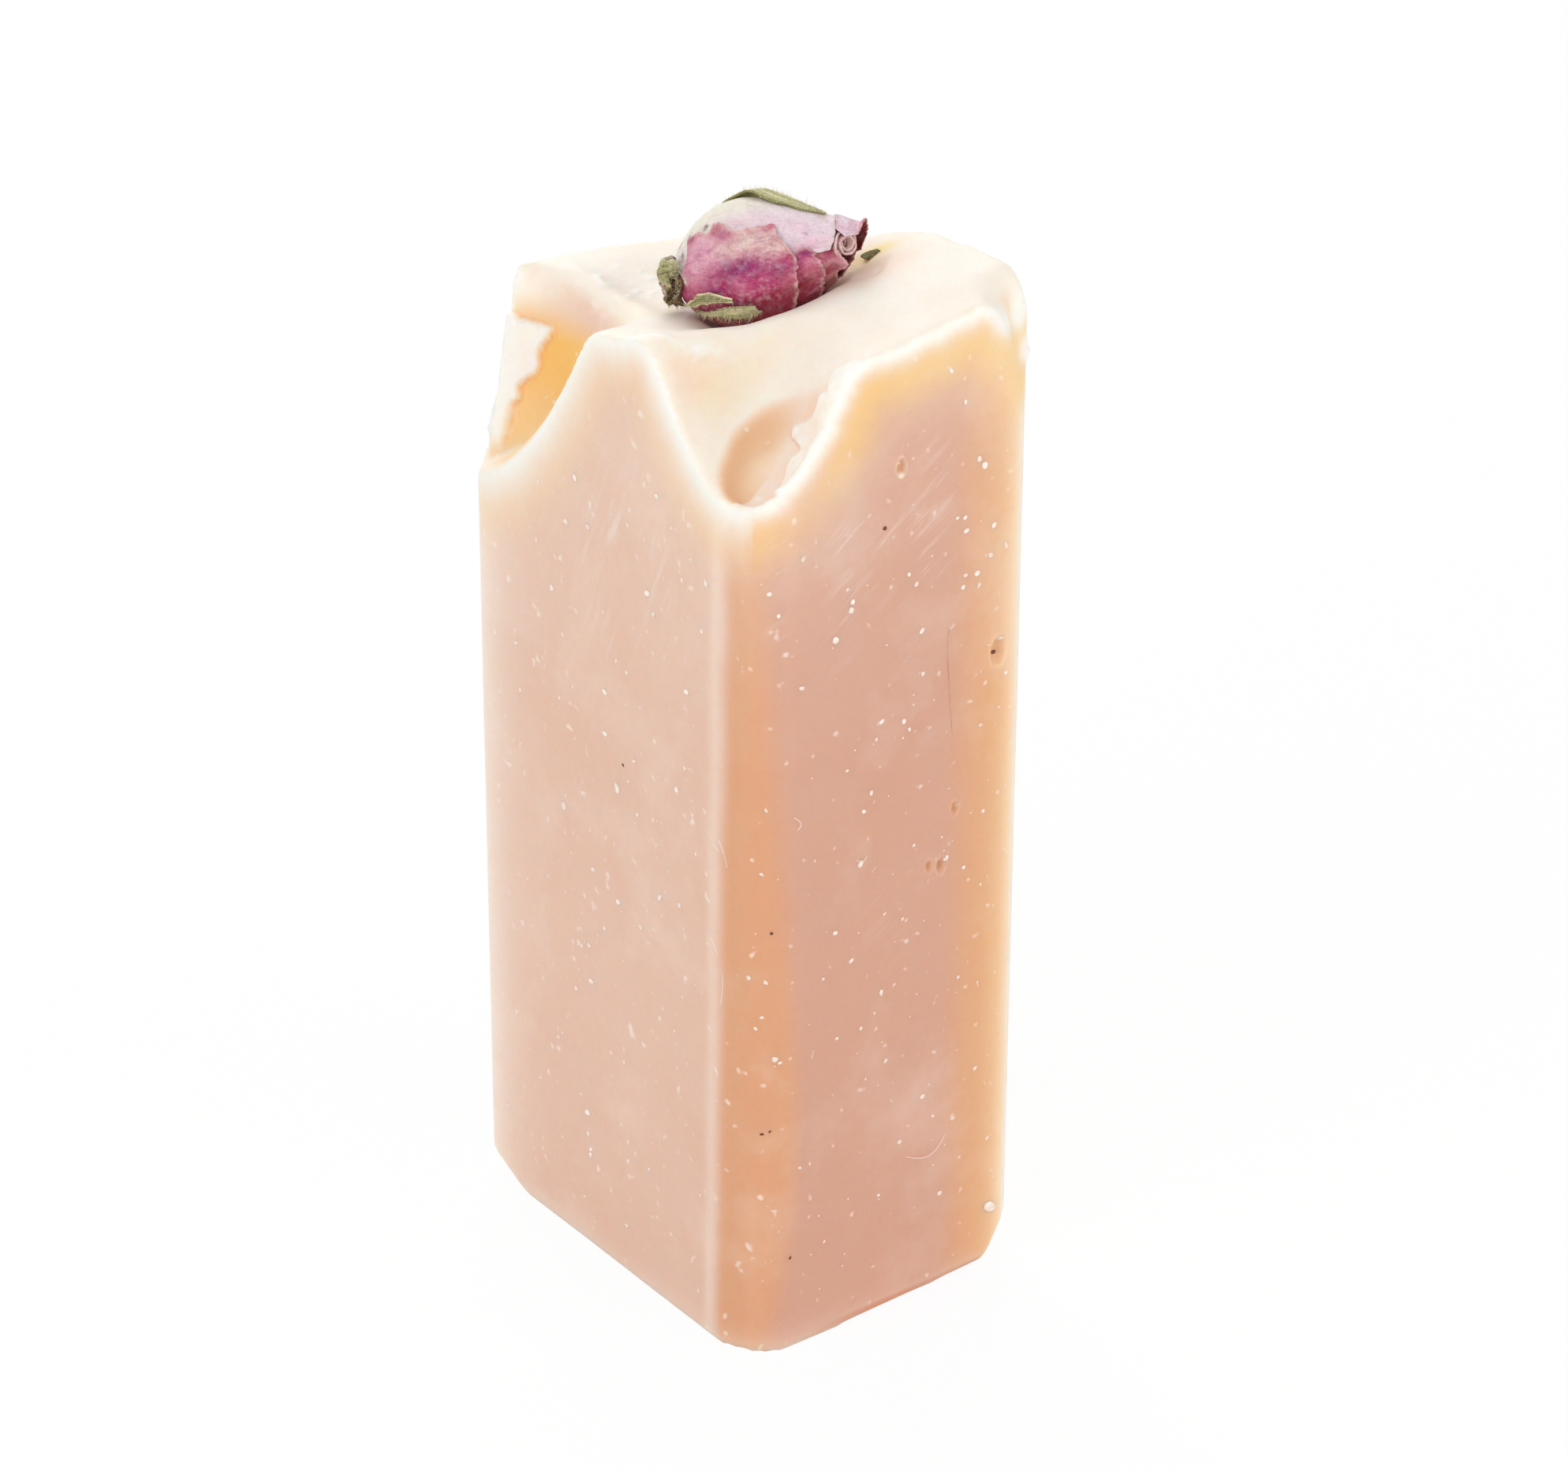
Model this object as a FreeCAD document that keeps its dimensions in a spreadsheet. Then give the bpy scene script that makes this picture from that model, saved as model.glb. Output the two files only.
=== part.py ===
# Handmade bar of soap with a sculpted top and a dried rosebud pressed into it
import FreeCAD, Part
import math
import os
import Sketcher

Vector = FreeCAD.Vector
doc = FreeCAD.newDocument("soap_bar_with_rosebud")

# Driving sizes, in millimetres and degrees
SIZES = {
    "bar_width": 30.0,
    "bar_depth": 42.0,
    "bar_height": 94.9,
    "near_bevel_left": 4.6,
    "near_bevel_front": 4.2,
    "near_nose": 1.3,
    "left_bevel": 2.6,
    "right_bevel": 2.0,
    "far_bevel": 4.0,
    # Knocked lower corners and the cut along the lower front edge
    "undercut_length": 25.0,
    "undercut_inward": 1.3,
    "undercut_height": 1.9,
    "right_break_side": 4.4,
    "right_break_height": 8.0,
    "left_knock_along": 8.0,
    "left_knock_across": 4.5,
    "left_knock_height": 3.6,
    # Crown of the top: it rises to the right and falls away to the back
    "crown_rise": 2.6,
    "crown_shoulder": 0.5,
    "crown_from_left": 4.0,
    "crown_run": 24.0,
    "back_fall_left": 4.3,
    "back_fall_right": 8.5,
    "back_fall_start": 15.0,
    "back_fall_run": 16.0,
    "back_fall_earlier": 3.0,
    "back_fall_longer": 10.0,
    "back_fall_from_left": 6.0,
    "back_fall_across": 22.0,
    # Spoon scoops at the near, left and right corners
    "near_scoop_depth": 13.1,
    "near_scoop_rise": 8.2,
    "near_scoop_reach": 11.8,
    "near_scoop_left": 8.3,
    "near_scoop_right": 9.7,
    "near_scoop_heading": 48.0,
    "near_scoop_from_left": 0.3,
    "near_scoop_from_front": 3.3,
    "near_scoop_blend": 0.9,
    "left_scoop_depth": 23.9,
    "left_scoop_rise": 17.0,
    "left_scoop_reach": 16.6,
    "left_scoop_width": 5.4,
    "left_scoop_heading": -72.0,
    "left_scoop_from_left": 0.5,
    "left_scoop_from_back": 1.0,
    "left_scoop_outward": 30.0,
    "left_scoop_blend": 1.0,
    "right_chip_depth": 7.9,
    "right_chip_rise": 7.5,
    "right_chip_reach": 2.9,
    "right_chip_side": 3.0,
    "right_chip_from_right": 0.8,
    "right_chip_from_front": 0.3,
    "right_chip_blend": 0.6,
    # Mounds and hollows between them: height or depth, place and radii
    "right_mound": 0.5,
    "right_mound_from_right": 1.0,
    "right_mound_from_front": 7.0,
    "right_mound_length": 9.0,
    "right_mound_width": 6.0,
    "back_mound": 0.5,
    "back_mound_from_left": 13.0,
    "back_mound_from_back": 4.0,
    "back_mound_length": 9.0,
    "back_mound_width": 5.0,
    "shelf_dip": 3.3,
    "shelf_dip_from_left": 14.15,
    "shelf_dip_from_front": 18.0,
    "shelf_dip_length": 7.5,
    "shelf_dip_width": 4.1,
    "trough_depth": 2.0,
    "trough_length": 8.5,
    "trough_width": 5.0,
    "trough_behind_bud": 1.9,
    # Rosebud: its middle, measured from the bar's left, front and top, and how it lies
    "bud_from_left": 16.9,
    "bud_from_front": 19.8,
    "bud_sink": 1.65,
    "bud_heading": -51.8,
    "bud_lift": 18.0,
    "bud_length": 16.8,
    "bud_belly_radius": 5.7,
    "bud_belly_at": 6.8,
    "bud_base_radius": 1.6,
    "bud_mouth_radius": 1.1,
    "petal_thickness": 0.2,
    "petal_gap": 0.08,
    "petal_closing_length": 14.2,
    "seat_clearance": 0.08,
    "hip_radius": 2.0,
    "hip_length": 1.9,
    "hip_overlap": 0.3,
    "roll_foot_radius": 1.45,
    "roll_top_radius": 1.05,
    "roll_length": 2.7,
    "crumb_length": 1.6,
    "crumb_width": 0.8,
    "crumb_thickness": 0.3,
    "crumb_from_left": 24.2,
    "crumb_from_front": 15.6,
    # Each petal starts this far up the bud and stops this far short of its tip
    "petal_front_foot": 0.4,
    "petal_front_short": 4.8,
    "petal_back_foot": 0.4,
    "petal_back_short": 4.6,
    "petal_top_foot": 0.4,
    "petal_top_short": 2.1,
    "petal_side_foot": 2.6,
    "petal_side_short": 3.2,
    "petal_side_flare": 0.1,
    "petal_far_foot": 2.6,
    "petal_far_short": 3.4,
    "petal_lip_foot": 5.0,
    "petal_lip_short": 1.2,
    "petal_lip_flare": 0.9,
    "petal_crest_foot": 5.0,
    "petal_crest_short": -0.4,
    "petal_crest_flare": 0.8,
    "petal_under_foot": 5.0,
    "petal_under_short": 1.9,
    "petal_under_flare": 0.2,
    "petal_curl_length": 2.6,
    "petal_rim_wave": 0.3,
    # Sepals start at the hip and are this long
    "sepal_top_foot": 0.6,
    "sepal_top_length": 14.0,
    "sepal_left_foot": -0.9,
    "sepal_left_length": 2.7,
    "sepal_left_flare": 0.4,
    "sepal_low_foot": -0.7,
    "sepal_low_length": 3.3,
    "sepal_front_foot": 0.9,
    "sepal_front_length": 6.5,
    "sepal_under_foot": 0.5,
    "sepal_under_length": 7.5,
}

# Petals: angles around the bud from straight up towards the near side, and the layer
# counted from the outermost
PETALS = {
    "petal_front": (35.0, 178.0, 0),
    "petal_back": (186.0, 288.0, 0),
    "petal_top": (-66.0, 62.0, 1),
    "petal_side": (68.0, 170.0, 1),
    "petal_far": (178.0, 286.0, 1),
    "petal_lip": (68.0, 174.0, 2),
    "petal_crest": (-54.0, 60.0, 2),
    "petal_under": (184.0, 298.0, 2),
}

# Sepals: middle angle at the foot and at the tip, and half the angle that they cover
SEPALS = {
    "sepal_top": (-66.0, -36.0, 13.0),
    "sepal_left": (56.0, 60.0, 22.0),
    "sepal_low": (100.0, 98.0, 14.0),
    "sepal_front": (132.0, 110.0, 12.0),
    "sepal_under": (196.0, 190.0, 16.0),
}

sheet = doc.addObject("Spreadsheet::Sheet", "Sizes")
for row, (alias, number) in enumerate(SIZES.items(), start=1):
    sheet.set("A%d" % row, alias)
    sheet.set("B%d" % row, str(number))
    sheet.setAlias("B%d" % row, alias)
doc.recompute()


def size(alias):
    return float(sheet.get(alias))


def bind(obj, prop, expression):
    obj.setExpression(prop, expression)


def smooth(part):
    part = min(1.0, max(0.0, part))
    return part * part * (3.0 - 2.0 * part)


def soft_min(a, b, blend):
    share = min(1.0, max(0.0, 0.5 + 0.5 * (b - a) / blend))
    return b * (1.0 - share) + a * share - blend * share * (1.0 - share)


def turned(x, y, centre, heading):
    # Distances along and across a heading, from a centre
    turn = math.radians(heading)
    dx = x - centre[0]
    dy = y - centre[1]
    return dx * math.cos(turn) + dy * math.sin(turn), dy * math.cos(turn) - dx * math.sin(turn)


def mound(x, y, centre, heading, long_radius, wide_radius, height):
    along, across = turned(x, y, centre, heading)
    return height * math.exp(-(along / long_radius) ** 2 - (across / wide_radius) ** 2)


def scoop(x, y, centre, heading, floor, rise, reach, sides, powers):
    # A spoon cut: its floor rises along the heading and on both sides of it
    along, across = turned(x, y, centre, heading)
    side = sides[0] if across > 0 else sides[1]
    power = powers[1] if across > 0 else powers[2]
    return floor + rise * ((abs(along) / reach) ** powers[0] + (abs(across) / side) ** power)


# Height of the sculpted top at x from the left face and y from the front face
def top_height(x, y):
    width = size("bar_width")
    depth = size("bar_depth")
    top = size("bar_height")
    rise = smooth((x - size("crown_from_left")) / size("crown_run"))
    crown = top - size("crown_shoulder") - size("crown_rise") * (1.0 - rise)
    share = x / width
    start = size("back_fall_start") - size("back_fall_earlier") * share
    run = size("back_fall_run") + size("back_fall_longer") * share
    across = smooth((x - size("back_fall_from_left")) / size("back_fall_across"))
    drop = size("back_fall_left") + (size("back_fall_right") - size("back_fall_left")) * across
    z = crown - drop * smooth((y - start) / run)
    z += mound(x, y, (width - size("right_mound_from_right"), size("right_mound_from_front")), 0.0,
               size("right_mound_length"), size("right_mound_width"), size("right_mound"))
    z += mound(x, y, (size("back_mound_from_left"), depth - size("back_mound_from_back")), 0.0,
               size("back_mound_length"), size("back_mound_width"), size("back_mound"))
    z -= mound(x, y, (size("shelf_dip_from_left"), size("shelf_dip_from_front")), 0.0,
               size("shelf_dip_length"), size("shelf_dip_width"), size("shelf_dip"))
    behind = size("trough_behind_bud")
    trough = (size("bud_from_left") - 0.5 * behind, size("bud_from_front") + 0.87 * behind)
    z -= mound(x, y, trough, size("bud_heading"), size("trough_length"), size("trough_width"),
               size("trough_depth"))
    near = scoop(x, y, (size("near_scoop_from_left"), size("near_scoop_from_front")),
                 size("near_scoop_heading"), top - size("near_scoop_depth"),
                 size("near_scoop_rise"), size("near_scoop_reach"),
                 (size("near_scoop_left"), size("near_scoop_right")), (1.5, 2.0, 2.1))
    left = scoop(x, y, (size("left_scoop_from_left"), depth - size("left_scoop_from_back")),
                 size("left_scoop_heading"), top - size("left_scoop_depth"),
                 size("left_scoop_rise"), size("left_scoop_reach"),
                 (size("left_scoop_width"), size("left_scoop_outward")), (1.7, 3.0, 2.0))
    chip = scoop(x, y, (width - size("right_chip_from_right"), size("right_chip_from_front")), 45.0,
                 top - size("right_chip_depth"), size("right_chip_rise"), size("right_chip_reach"),
                 (size("right_chip_side"), size("right_chip_side")), (2.2, 2.4, 2.4))
    z = soft_min(z, near, size("near_scoop_blend"))
    z = soft_min(z, left, size("left_scoop_blend"))
    return soft_min(z, chip, size("right_chip_blend"))


def add_solid(name, shape, placement=None):
    feature = doc.addObject("Part::Feature", name)
    feature.Label = name
    feature.Shape = shape
    if placement is not None:
        feature.Placement = placement
    return feature


# Footprint sketch: a rectangle with its four upright edges planed off
def polygon_sketch(body, name, corners, constraints):
    sketch = body.newObject("Sketcher::SketchObject", name)
    sketch.AttachmentSupport = [(body.Origin.OriginFeatures[3], "")]
    sketch.MapMode = "FlatFace"
    count = len(corners)
    for index in range(count):
        start = Vector(corners[index][0], corners[index][1], 0)
        end = Vector(corners[(index + 1) % count][0], corners[(index + 1) % count][1], 0)
        sketch.addGeometry(Part.LineSegment(start, end), False)
    for index in range(count):
        sketch.addConstraint(Sketcher.Constraint("Coincident", index, 2, (index + 1) % count, 1))
    for index, (across, upward) in enumerate(constraints):
        for kind, expression, value in (("DistanceX", across, corners[index][0]),
                                        ("DistanceY", upward, corners[index][1])):
            if expression is None:
                other = "PointOnObject"
                axis = -2 if kind == "DistanceX" else -1
                sketch.addConstraint(Sketcher.Constraint(other, index, 1, axis))
                continue
            number = sketch.addConstraint(Sketcher.Constraint(kind, -1, 1, index, 1, value))
            sketch.setExpression("Constraints[%d]" % number, expression)
    return sketch


width = size("bar_width")
depth = size("bar_depth")
corners = [
    (size("near_bevel_front"), 0.0),
    (width - size("right_bevel"), 0.0),
    (width, size("right_bevel")),
    (width, depth - size("far_bevel")),
    (width - size("far_bevel"), depth),
    (size("left_bevel"), depth),
    (0.0, depth - size("left_bevel")),
    (0.0, size("near_bevel_left")),
    (size("near_nose"), size("near_nose")),
]
constraints = [
    ("Sizes.near_bevel_front", None),
    ("Sizes.bar_width - Sizes.right_bevel", None),
    ("Sizes.bar_width", "Sizes.right_bevel"),
    ("Sizes.bar_width", "Sizes.bar_depth - Sizes.far_bevel"),
    ("Sizes.bar_width - Sizes.far_bevel", "Sizes.bar_depth"),
    ("Sizes.left_bevel", "Sizes.bar_depth"),
    (None, "Sizes.bar_depth - Sizes.left_bevel"),
    (None, "Sizes.near_bevel_left"),
    ("Sizes.near_nose", "Sizes.near_nose"),
]
block = doc.addObject("PartDesign::Body", "bar_block")
footprint = polygon_sketch(block, "footprint", corners, constraints)
doc.recompute()
pad = block.newObject("PartDesign::Pad", "bar_pad")
pad.Profile = footprint
bind(pad, "Length", "Sizes.bar_height + 3")
footprint.Visibility = False
doc.recompute()

# Cutting tool above the sculpted top, a surface through evenly spaced heights
OVERHANG = 2.0
STEP = 2.7
LEAST_CUT = 2.5
TOOL_HEIGHT = 2.0 * size("left_scoop_depth")
columns = int(round((width + 2 * OVERHANG) / STEP))
rows = int(round((depth + 2 * OVERHANG) / STEP))
grid = []
for i in range(columns + 1):
    x = -OVERHANG + i * (width + 2 * OVERHANG) / columns
    line = []
    for j in range(rows + 1):
        y = -OVERHANG + j * (depth + 2 * OVERHANG) / rows
        line.append(Vector(x, y, top_height(x, y)))
    grid.append(line)
top_surface = Part.BSplineSurface()
top_surface.interpolate(grid)
top_tool = add_solid("top_tool", top_surface.toShape().extrude(Vector(0, 0, TOOL_HEIGHT)))


# Corner breaks: each is a plane cut across a corner, with one leg on every edge
def corner_break(name, corner, legs):
    points = [corner]
    points += [corner + leg for leg in legs]
    faces = []
    for triple in ((0, 1, 2), (0, 2, 3), (0, 3, 1), (1, 3, 2)):
        ring = [points[k] for k in triple]
        faces.append(Part.Face(Part.makePolygon(ring + ring[:1])))
    solid = Part.Solid(Part.Shell(faces))
    if solid.Volume < 0:
        solid.reverse()
    return add_solid(name, solid)


front_undercut = corner_break("front_undercut", Vector(width, 0, 0), (
    Vector(-size("undercut_length"), 0, 0),
    Vector(0, size("undercut_inward"), 0),
    Vector(0, 0, size("undercut_height"))))
right_break = corner_break("right_break", Vector(width, 0, 0), (
    Vector(-size("right_break_side"), 0, 0),
    Vector(0, size("right_break_side"), 0),
    Vector(0, 0, size("right_break_height"))))
left_knock = corner_break("left_knock", Vector(0, depth, 0), (
    Vector(size("left_knock_across"), 0, 0),
    Vector(0, -size("left_knock_along"), 0),
    Vector(0, 0, size("left_knock_height"))))

# Rosebud frame: z runs from its foot to its tip, x points up and y to the near side
heading = math.radians(size("bud_heading"))
lift = math.radians(size("bud_lift"))
axis = Vector(math.cos(heading) * math.cos(lift), math.sin(heading) * math.cos(lift), math.sin(lift))
upward = (Vector(0, 0, 1) - axis * axis.z).normalize()
sideways = axis.cross(upward)
middle = Vector(size("bud_from_left"), size("bud_from_front"), size("bar_height") - size("bud_sink"))
foot = middle - axis * (size("bud_length") / 2.0)
bud_matrix = FreeCAD.Matrix(
    upward.x, sideways.x, axis.x, foot.x,
    upward.y, sideways.y, axis.y, foot.y,
    upward.z, sideways.z, axis.z, foot.z,
    0, 0, 0, 1)
bud_in_bar = FreeCAD.Placement(bud_matrix)
centring = FreeCAD.Placement(Vector(-width / 2.0, -depth / 2.0, 0), FreeCAD.Rotation())
bud_placement = centring.multiply(bud_in_bar)


# Outline of the closed bud: slim at the foot, full at the belly, drawn in at the mouth
def bud_radius(z):
    belly = size("bud_belly_radius")
    belly_at = size("bud_belly_at")
    if z < belly_at:
        share = min(1.0, (belly_at - z) / belly_at)
        return belly - (belly - size("bud_base_radius")) * share ** 2.4
    share = (z - belly_at) / (size("bud_length") - belly_at)
    return belly - (belly - size("bud_mouth_radius")) * share ** 1.5


def layer_radius(z, layer):
    # Outer face of a petal layer; the inner layers stop closing in near the mouth
    pitch = size("petal_thickness") + size("petal_gap")
    radius = bud_radius(z)
    if layer >= 1:
        radius = -soft_min(-radius, -bud_radius(size("petal_closing_length")), 0.4)
    return radius - layer * pitch


def skin(radius, grid_size, spot):
    # Closed thin leaf between two surfaces, spot(a, b) giving its angle and height
    thickness = size("petal_thickness")
    count_a, count_b = grid_size
    sides = []
    for inward in (0.0, thickness):
        net = []
        for i in range(count_a):
            line = []
            for j in range(count_b):
                angle, z = spot(i / (count_a - 1.0), j / (count_b - 1.0))
                r = radius(z) - inward
                turn = math.radians(angle)
                line.append(Vector(r * math.cos(turn), r * math.sin(turn), z))
            net.append(line)
        surface = Part.BSplineSurface()
        surface.interpolate(net)
        sides.append(surface)
    outer, inner = sides
    faces = [outer.toShape(), inner.toShape()]
    low_a, high_a, low_b, high_b = outer.bounds()
    for pick in ((lambda s: s.uIso(low_a)), (lambda s: s.uIso(high_a)),
                 (lambda s: s.vIso(low_b)), (lambda s: s.vIso(high_b))):
        faces.append(Part.makeRuledSurface(pick(outer).toShape(), pick(inner).toShape()))
    shell = Part.makeShell(faces)
    shell.sewShape()
    shell = Part.Shell(shell.Faces)
    solid = Part.Solid(shell)
    fix = Part.Solid(solid)
    if fix.Volume < 0:
        fix.reverse()
    return fix


def flare_of(name):
    return SIZES.get(name + "_flare", 0.0) and size(name + "_flare")


def petal_solid(name, start, end, layer):
    foot_at = size(name + "_foot")
    tip_at = size("bud_length") - size(name + "_short")
    flare = flare_of(name)
    curl = size("petal_curl_length")
    wave = size("petal_rim_wave")

    def radius(z):
        out = layer_radius(z, layer)
        lift_from = tip_at - curl
        if flare > 0 and z > lift_from:
            out += flare * ((z - lift_from) / curl) ** 2
        return out

    def spot(a, b):
        # The petal is narrow at its foot, round at its tip and has a wavy rim
        half = (end - start) / 2.0
        spread = 0.6 + 0.4 * math.sin(0.5 * math.pi * min(1.0, b / 0.55))
        angle = (start + end) / 2.0 + half * (2 * a - 1) * spread
        rim = tip_at - 0.16 * (tip_at - foot_at) * (2 * a - 1) ** 4
        rim -= 0.5 * wave * (1 - math.cos(4 * math.pi * a))
        return angle, foot_at + (rim - foot_at) * b

    return skin(radius, (11, 14), spot)


def sepal_solid(name, foot_angle, tip_angle, half):
    foot_at = size(name + "_foot")
    length = size(name + "_length")
    flare = flare_of(name)
    stand = size("petal_thickness") + 1.5 * size("petal_gap")

    def radius(z):
        out = max(bud_radius(max(z, 0.0)), size("hip_radius") + size("petal_gap")) + stand
        return out + flare * smooth((z - foot_at) / length)

    def spot(a, b):
        # Widest below the middle, drawn out to a narrow tip
        spread = 0.25 + 0.75 * math.sin(math.pi * (0.18 + 0.74 * b)) ** 0.8
        angle = foot_angle + (tip_angle - foot_angle) * smooth(b / 0.6)
        return angle + half * (2 * a - 1) * spread, foot_at + length * b

    return skin(radius, (5, 14), spot)


def revolved(radius, low, high, steps):
    heights = [low + (high - low) * k / steps for k in range(steps + 1)]
    curve = Part.BSplineCurve()
    curve.interpolate([Vector(radius(z), 0, z) for z in heights])
    first = Vector(radius(low), 0, low)
    last = Vector(radius(high), 0, high)
    edges = [
        curve.toShape(),
        Part.makeLine(last, Vector(0, 0, high)),
        Part.makeLine(Vector(0, 0, high), Vector(0, 0, low)),
        Part.makeLine(Vector(0, 0, low), first),
    ]
    face = Part.Face(Part.Wire(edges))
    return face.revolve(Vector(0, 0, 0), Vector(0, 0, 1), 360)


pieces = []
for name, spec in PETALS.items():
    pieces.append(add_solid(name, petal_solid(name, *spec), bud_placement))
for name, spec in SEPALS.items():
    pieces.append(add_solid(name, sepal_solid(name, *spec), bud_placement))

# Heart of the bud, inside the innermost petals
PETAL_LAYERS = 3
ROLL_SHORT = 1.0
heart_top = size("bud_length") - size("roll_length") - ROLL_SHORT
heart_inset = PETAL_LAYERS * (size("petal_thickness") + size("petal_gap")) + 0.5 * size("petal_gap")
heart_low = 0.4
while bud_radius(heart_low) < heart_inset + 0.6:
    heart_low += 0.1
heart = revolved(lambda z: bud_radius(z) - heart_inset, heart_low, heart_top, 16)
pieces.append(add_solid("bud_heart", heart, bud_placement))

# Rolled petals in the open mouth
roll = doc.addObject("Part::Cone", "centre_roll")
bind(roll, "Radius1", "Sizes.roll_foot_radius")
bind(roll, "Radius2", "Sizes.roll_top_radius")
bind(roll, "Height", "Sizes.roll_length")
roll.Label = "centre_roll"
roll_foot = Vector(0, 0, heart_top + 0.5 * size("petal_gap"))
roll.Placement = bud_placement.multiply(FreeCAD.Placement(roll_foot, FreeCAD.Rotation()))
pieces.append(roll)

# Hip, the round foot that the sepals grow from
hip = doc.addObject("Part::Ellipsoid", "bud_hip")
bind(hip, "Radius1", "Sizes.hip_length / 2")
bind(hip, "Radius2", "Sizes.hip_radius")
bind(hip, "Radius3", "Sizes.hip_radius")
hip.Label = "bud_hip"
hip_middle = size("hip_overlap") - size("hip_length") / 2.0
hip.Placement = bud_placement.multiply(FreeCAD.Placement(Vector(0, 0, hip_middle), FreeCAD.Rotation()))
pieces.append(hip)


# Seat in the soap: the bud's outline with its sepals, plus a clearance
def seat_radius(z):
    stand = size("petal_thickness") + 1.5 * size("petal_gap") + size("seat_clearance")
    waist = size("hip_radius") + size("petal_gap")
    body = bud_radius(min(max(z, 0.0), size("petal_closing_length")))
    return max(body, waist) + stand


seat_low = size("hip_overlap") - size("hip_length") - size("seat_clearance")
seat_tool = revolved(seat_radius, seat_low, size("bud_length") + 1.0, 24)
seat = add_solid("seat_tool", seat_tool, bud_in_bar)

# Crumb of dried leaf lying on the soap past the bud's tip
crumb_x = size("crumb_from_left")
crumb_y = size("crumb_from_front")
slope_x = (top_height(crumb_x + 0.5, crumb_y) - top_height(crumb_x - 0.5, crumb_y))
slope_y = (top_height(crumb_x, crumb_y + 0.5) - top_height(crumb_x, crumb_y - 0.5))
normal = Vector(-slope_x, -slope_y, 1.0).normalize()
crumb = doc.addObject("Part::Box", "leaf_crumb")
bind(crumb, "Length", "Sizes.crumb_length")
bind(crumb, "Width", "Sizes.crumb_width")
bind(crumb, "Height", "Sizes.crumb_thickness")
crumb.Label = "leaf_crumb"
crumb_turn = FreeCAD.Rotation(Vector(0, 0, 1), normal)
crumb_seat = Vector(crumb_x, crumb_y, top_height(crumb_x, crumb_y)) + normal * size("seat_clearance")
half_crumb = crumb_turn.multVec(Vector(size("crumb_length") / 2.0, size("crumb_width") / 2.0, 0))
crumb.Placement = centring.multiply(FreeCAD.Placement(crumb_seat - half_crumb, crumb_turn))
pieces.append(crumb)
doc.recompute()

# The soap itself: the block less the carving, the broken corners and the bud's seat
cut_away = doc.addObject("Part::MultiFuse", "cut_away")
cut_away.Shapes = [front_undercut, right_break, left_knock]
doc.recompute()
carved = doc.addObject("Part::Cut", "carved_block")
carved.Base = block
carved.Tool = top_tool
doc.recompute()
if block.Shape.Volume - carved.Shape.Volume < LEAST_CUT * width * depth:
    raise RuntimeError("the sculpted top was not cut from the block")
broken = doc.addObject("Part::Cut", "broken_block")
broken.Base = carved
broken.Tool = cut_away
doc.recompute()
soap = doc.addObject("Part::Cut", "soap_bar")
soap.Base = broken
soap.Tool = seat
soap.Label = "soap_bar"
soap.Placement = centring
doc.recompute()
pieces.insert(0, soap)

# Checks and export
for obj in doc.Objects:
    if "Invalid" in obj.State or "Error" in obj.State:
        raise RuntimeError("%s is %s" % (obj.Name, obj.State))
os.makedirs("parts", exist_ok=True)
for piece in pieces:
    shape = piece.Shape
    if shape.isNull() or not shape.isValid():
        raise RuntimeError("%s has no valid shape" % piece.Label)
    solids = shape.Solids
    if len(solids) != 1 or shape.Volume <= 0:
        raise RuntimeError("%s has %d solids, volume %.3f" % (piece.Label, len(solids), shape.Volume))
    shape.exportStep("parts/" + piece.Label + ".step")
    box = shape.BoundBox
    print("%-14s %9.3f mm3  x %.2f to %.2f  y %.2f to %.2f  z %.2f to %.2f" % (
        piece.Label, shape.Volume, box.XMin, box.XMax, box.YMin, box.YMax, box.ZMin, box.ZMax))
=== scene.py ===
"""Looks of a bar of handmade soap with a dried rosebud pressed into its sculpted top."""
import math

import bpy
import numpy as np
from bpy.props import FloatProperty, FloatVectorProperty, IntProperty
from mathutils import Matrix, Vector
from mathutils.kdtree import KDTree


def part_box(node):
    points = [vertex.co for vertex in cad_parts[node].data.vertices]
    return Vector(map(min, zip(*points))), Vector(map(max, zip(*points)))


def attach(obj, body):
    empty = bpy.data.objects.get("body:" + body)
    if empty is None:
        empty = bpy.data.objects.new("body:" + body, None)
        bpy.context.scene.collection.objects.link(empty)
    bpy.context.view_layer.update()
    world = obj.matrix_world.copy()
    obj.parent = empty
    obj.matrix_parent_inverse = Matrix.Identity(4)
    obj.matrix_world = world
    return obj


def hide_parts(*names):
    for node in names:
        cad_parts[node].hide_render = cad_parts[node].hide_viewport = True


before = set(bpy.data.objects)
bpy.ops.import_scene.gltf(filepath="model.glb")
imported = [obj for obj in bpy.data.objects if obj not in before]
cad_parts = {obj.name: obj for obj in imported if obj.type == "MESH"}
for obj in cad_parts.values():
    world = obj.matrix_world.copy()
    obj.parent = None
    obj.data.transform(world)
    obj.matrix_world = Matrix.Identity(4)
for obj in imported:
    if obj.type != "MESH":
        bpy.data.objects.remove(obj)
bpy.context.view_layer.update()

bl_info = {
    "name": "Soap bar with rosebud",
    "version": (1, 0, 0),
    "blender": (4, 5, 0),
    "location": "3D View > Sidebar > Soap",
    "description": "Dresses a carved bar of soap and the dried rosebud in its top",
    "category": "Object",
}

MM = 0.001
SOAP_LOW, SOAP_HIGH = (np.array(corner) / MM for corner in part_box("soap_bar"))
BAR_WIDTH, BAR_DEPTH = (SOAP_HIGH - SOAP_LOW)[:2]
SEED = 11


def colour(red, green, blue):
    """Linear colour from screen values of 0 to 255."""
    levels = np.array((red, green, blue)) / 255.0
    linear = np.where(levels <= 0.04045, levels / 12.92, ((levels + 0.055) / 1.055) ** 2.4)
    return (*linear.tolist(), 1.0)


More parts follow.
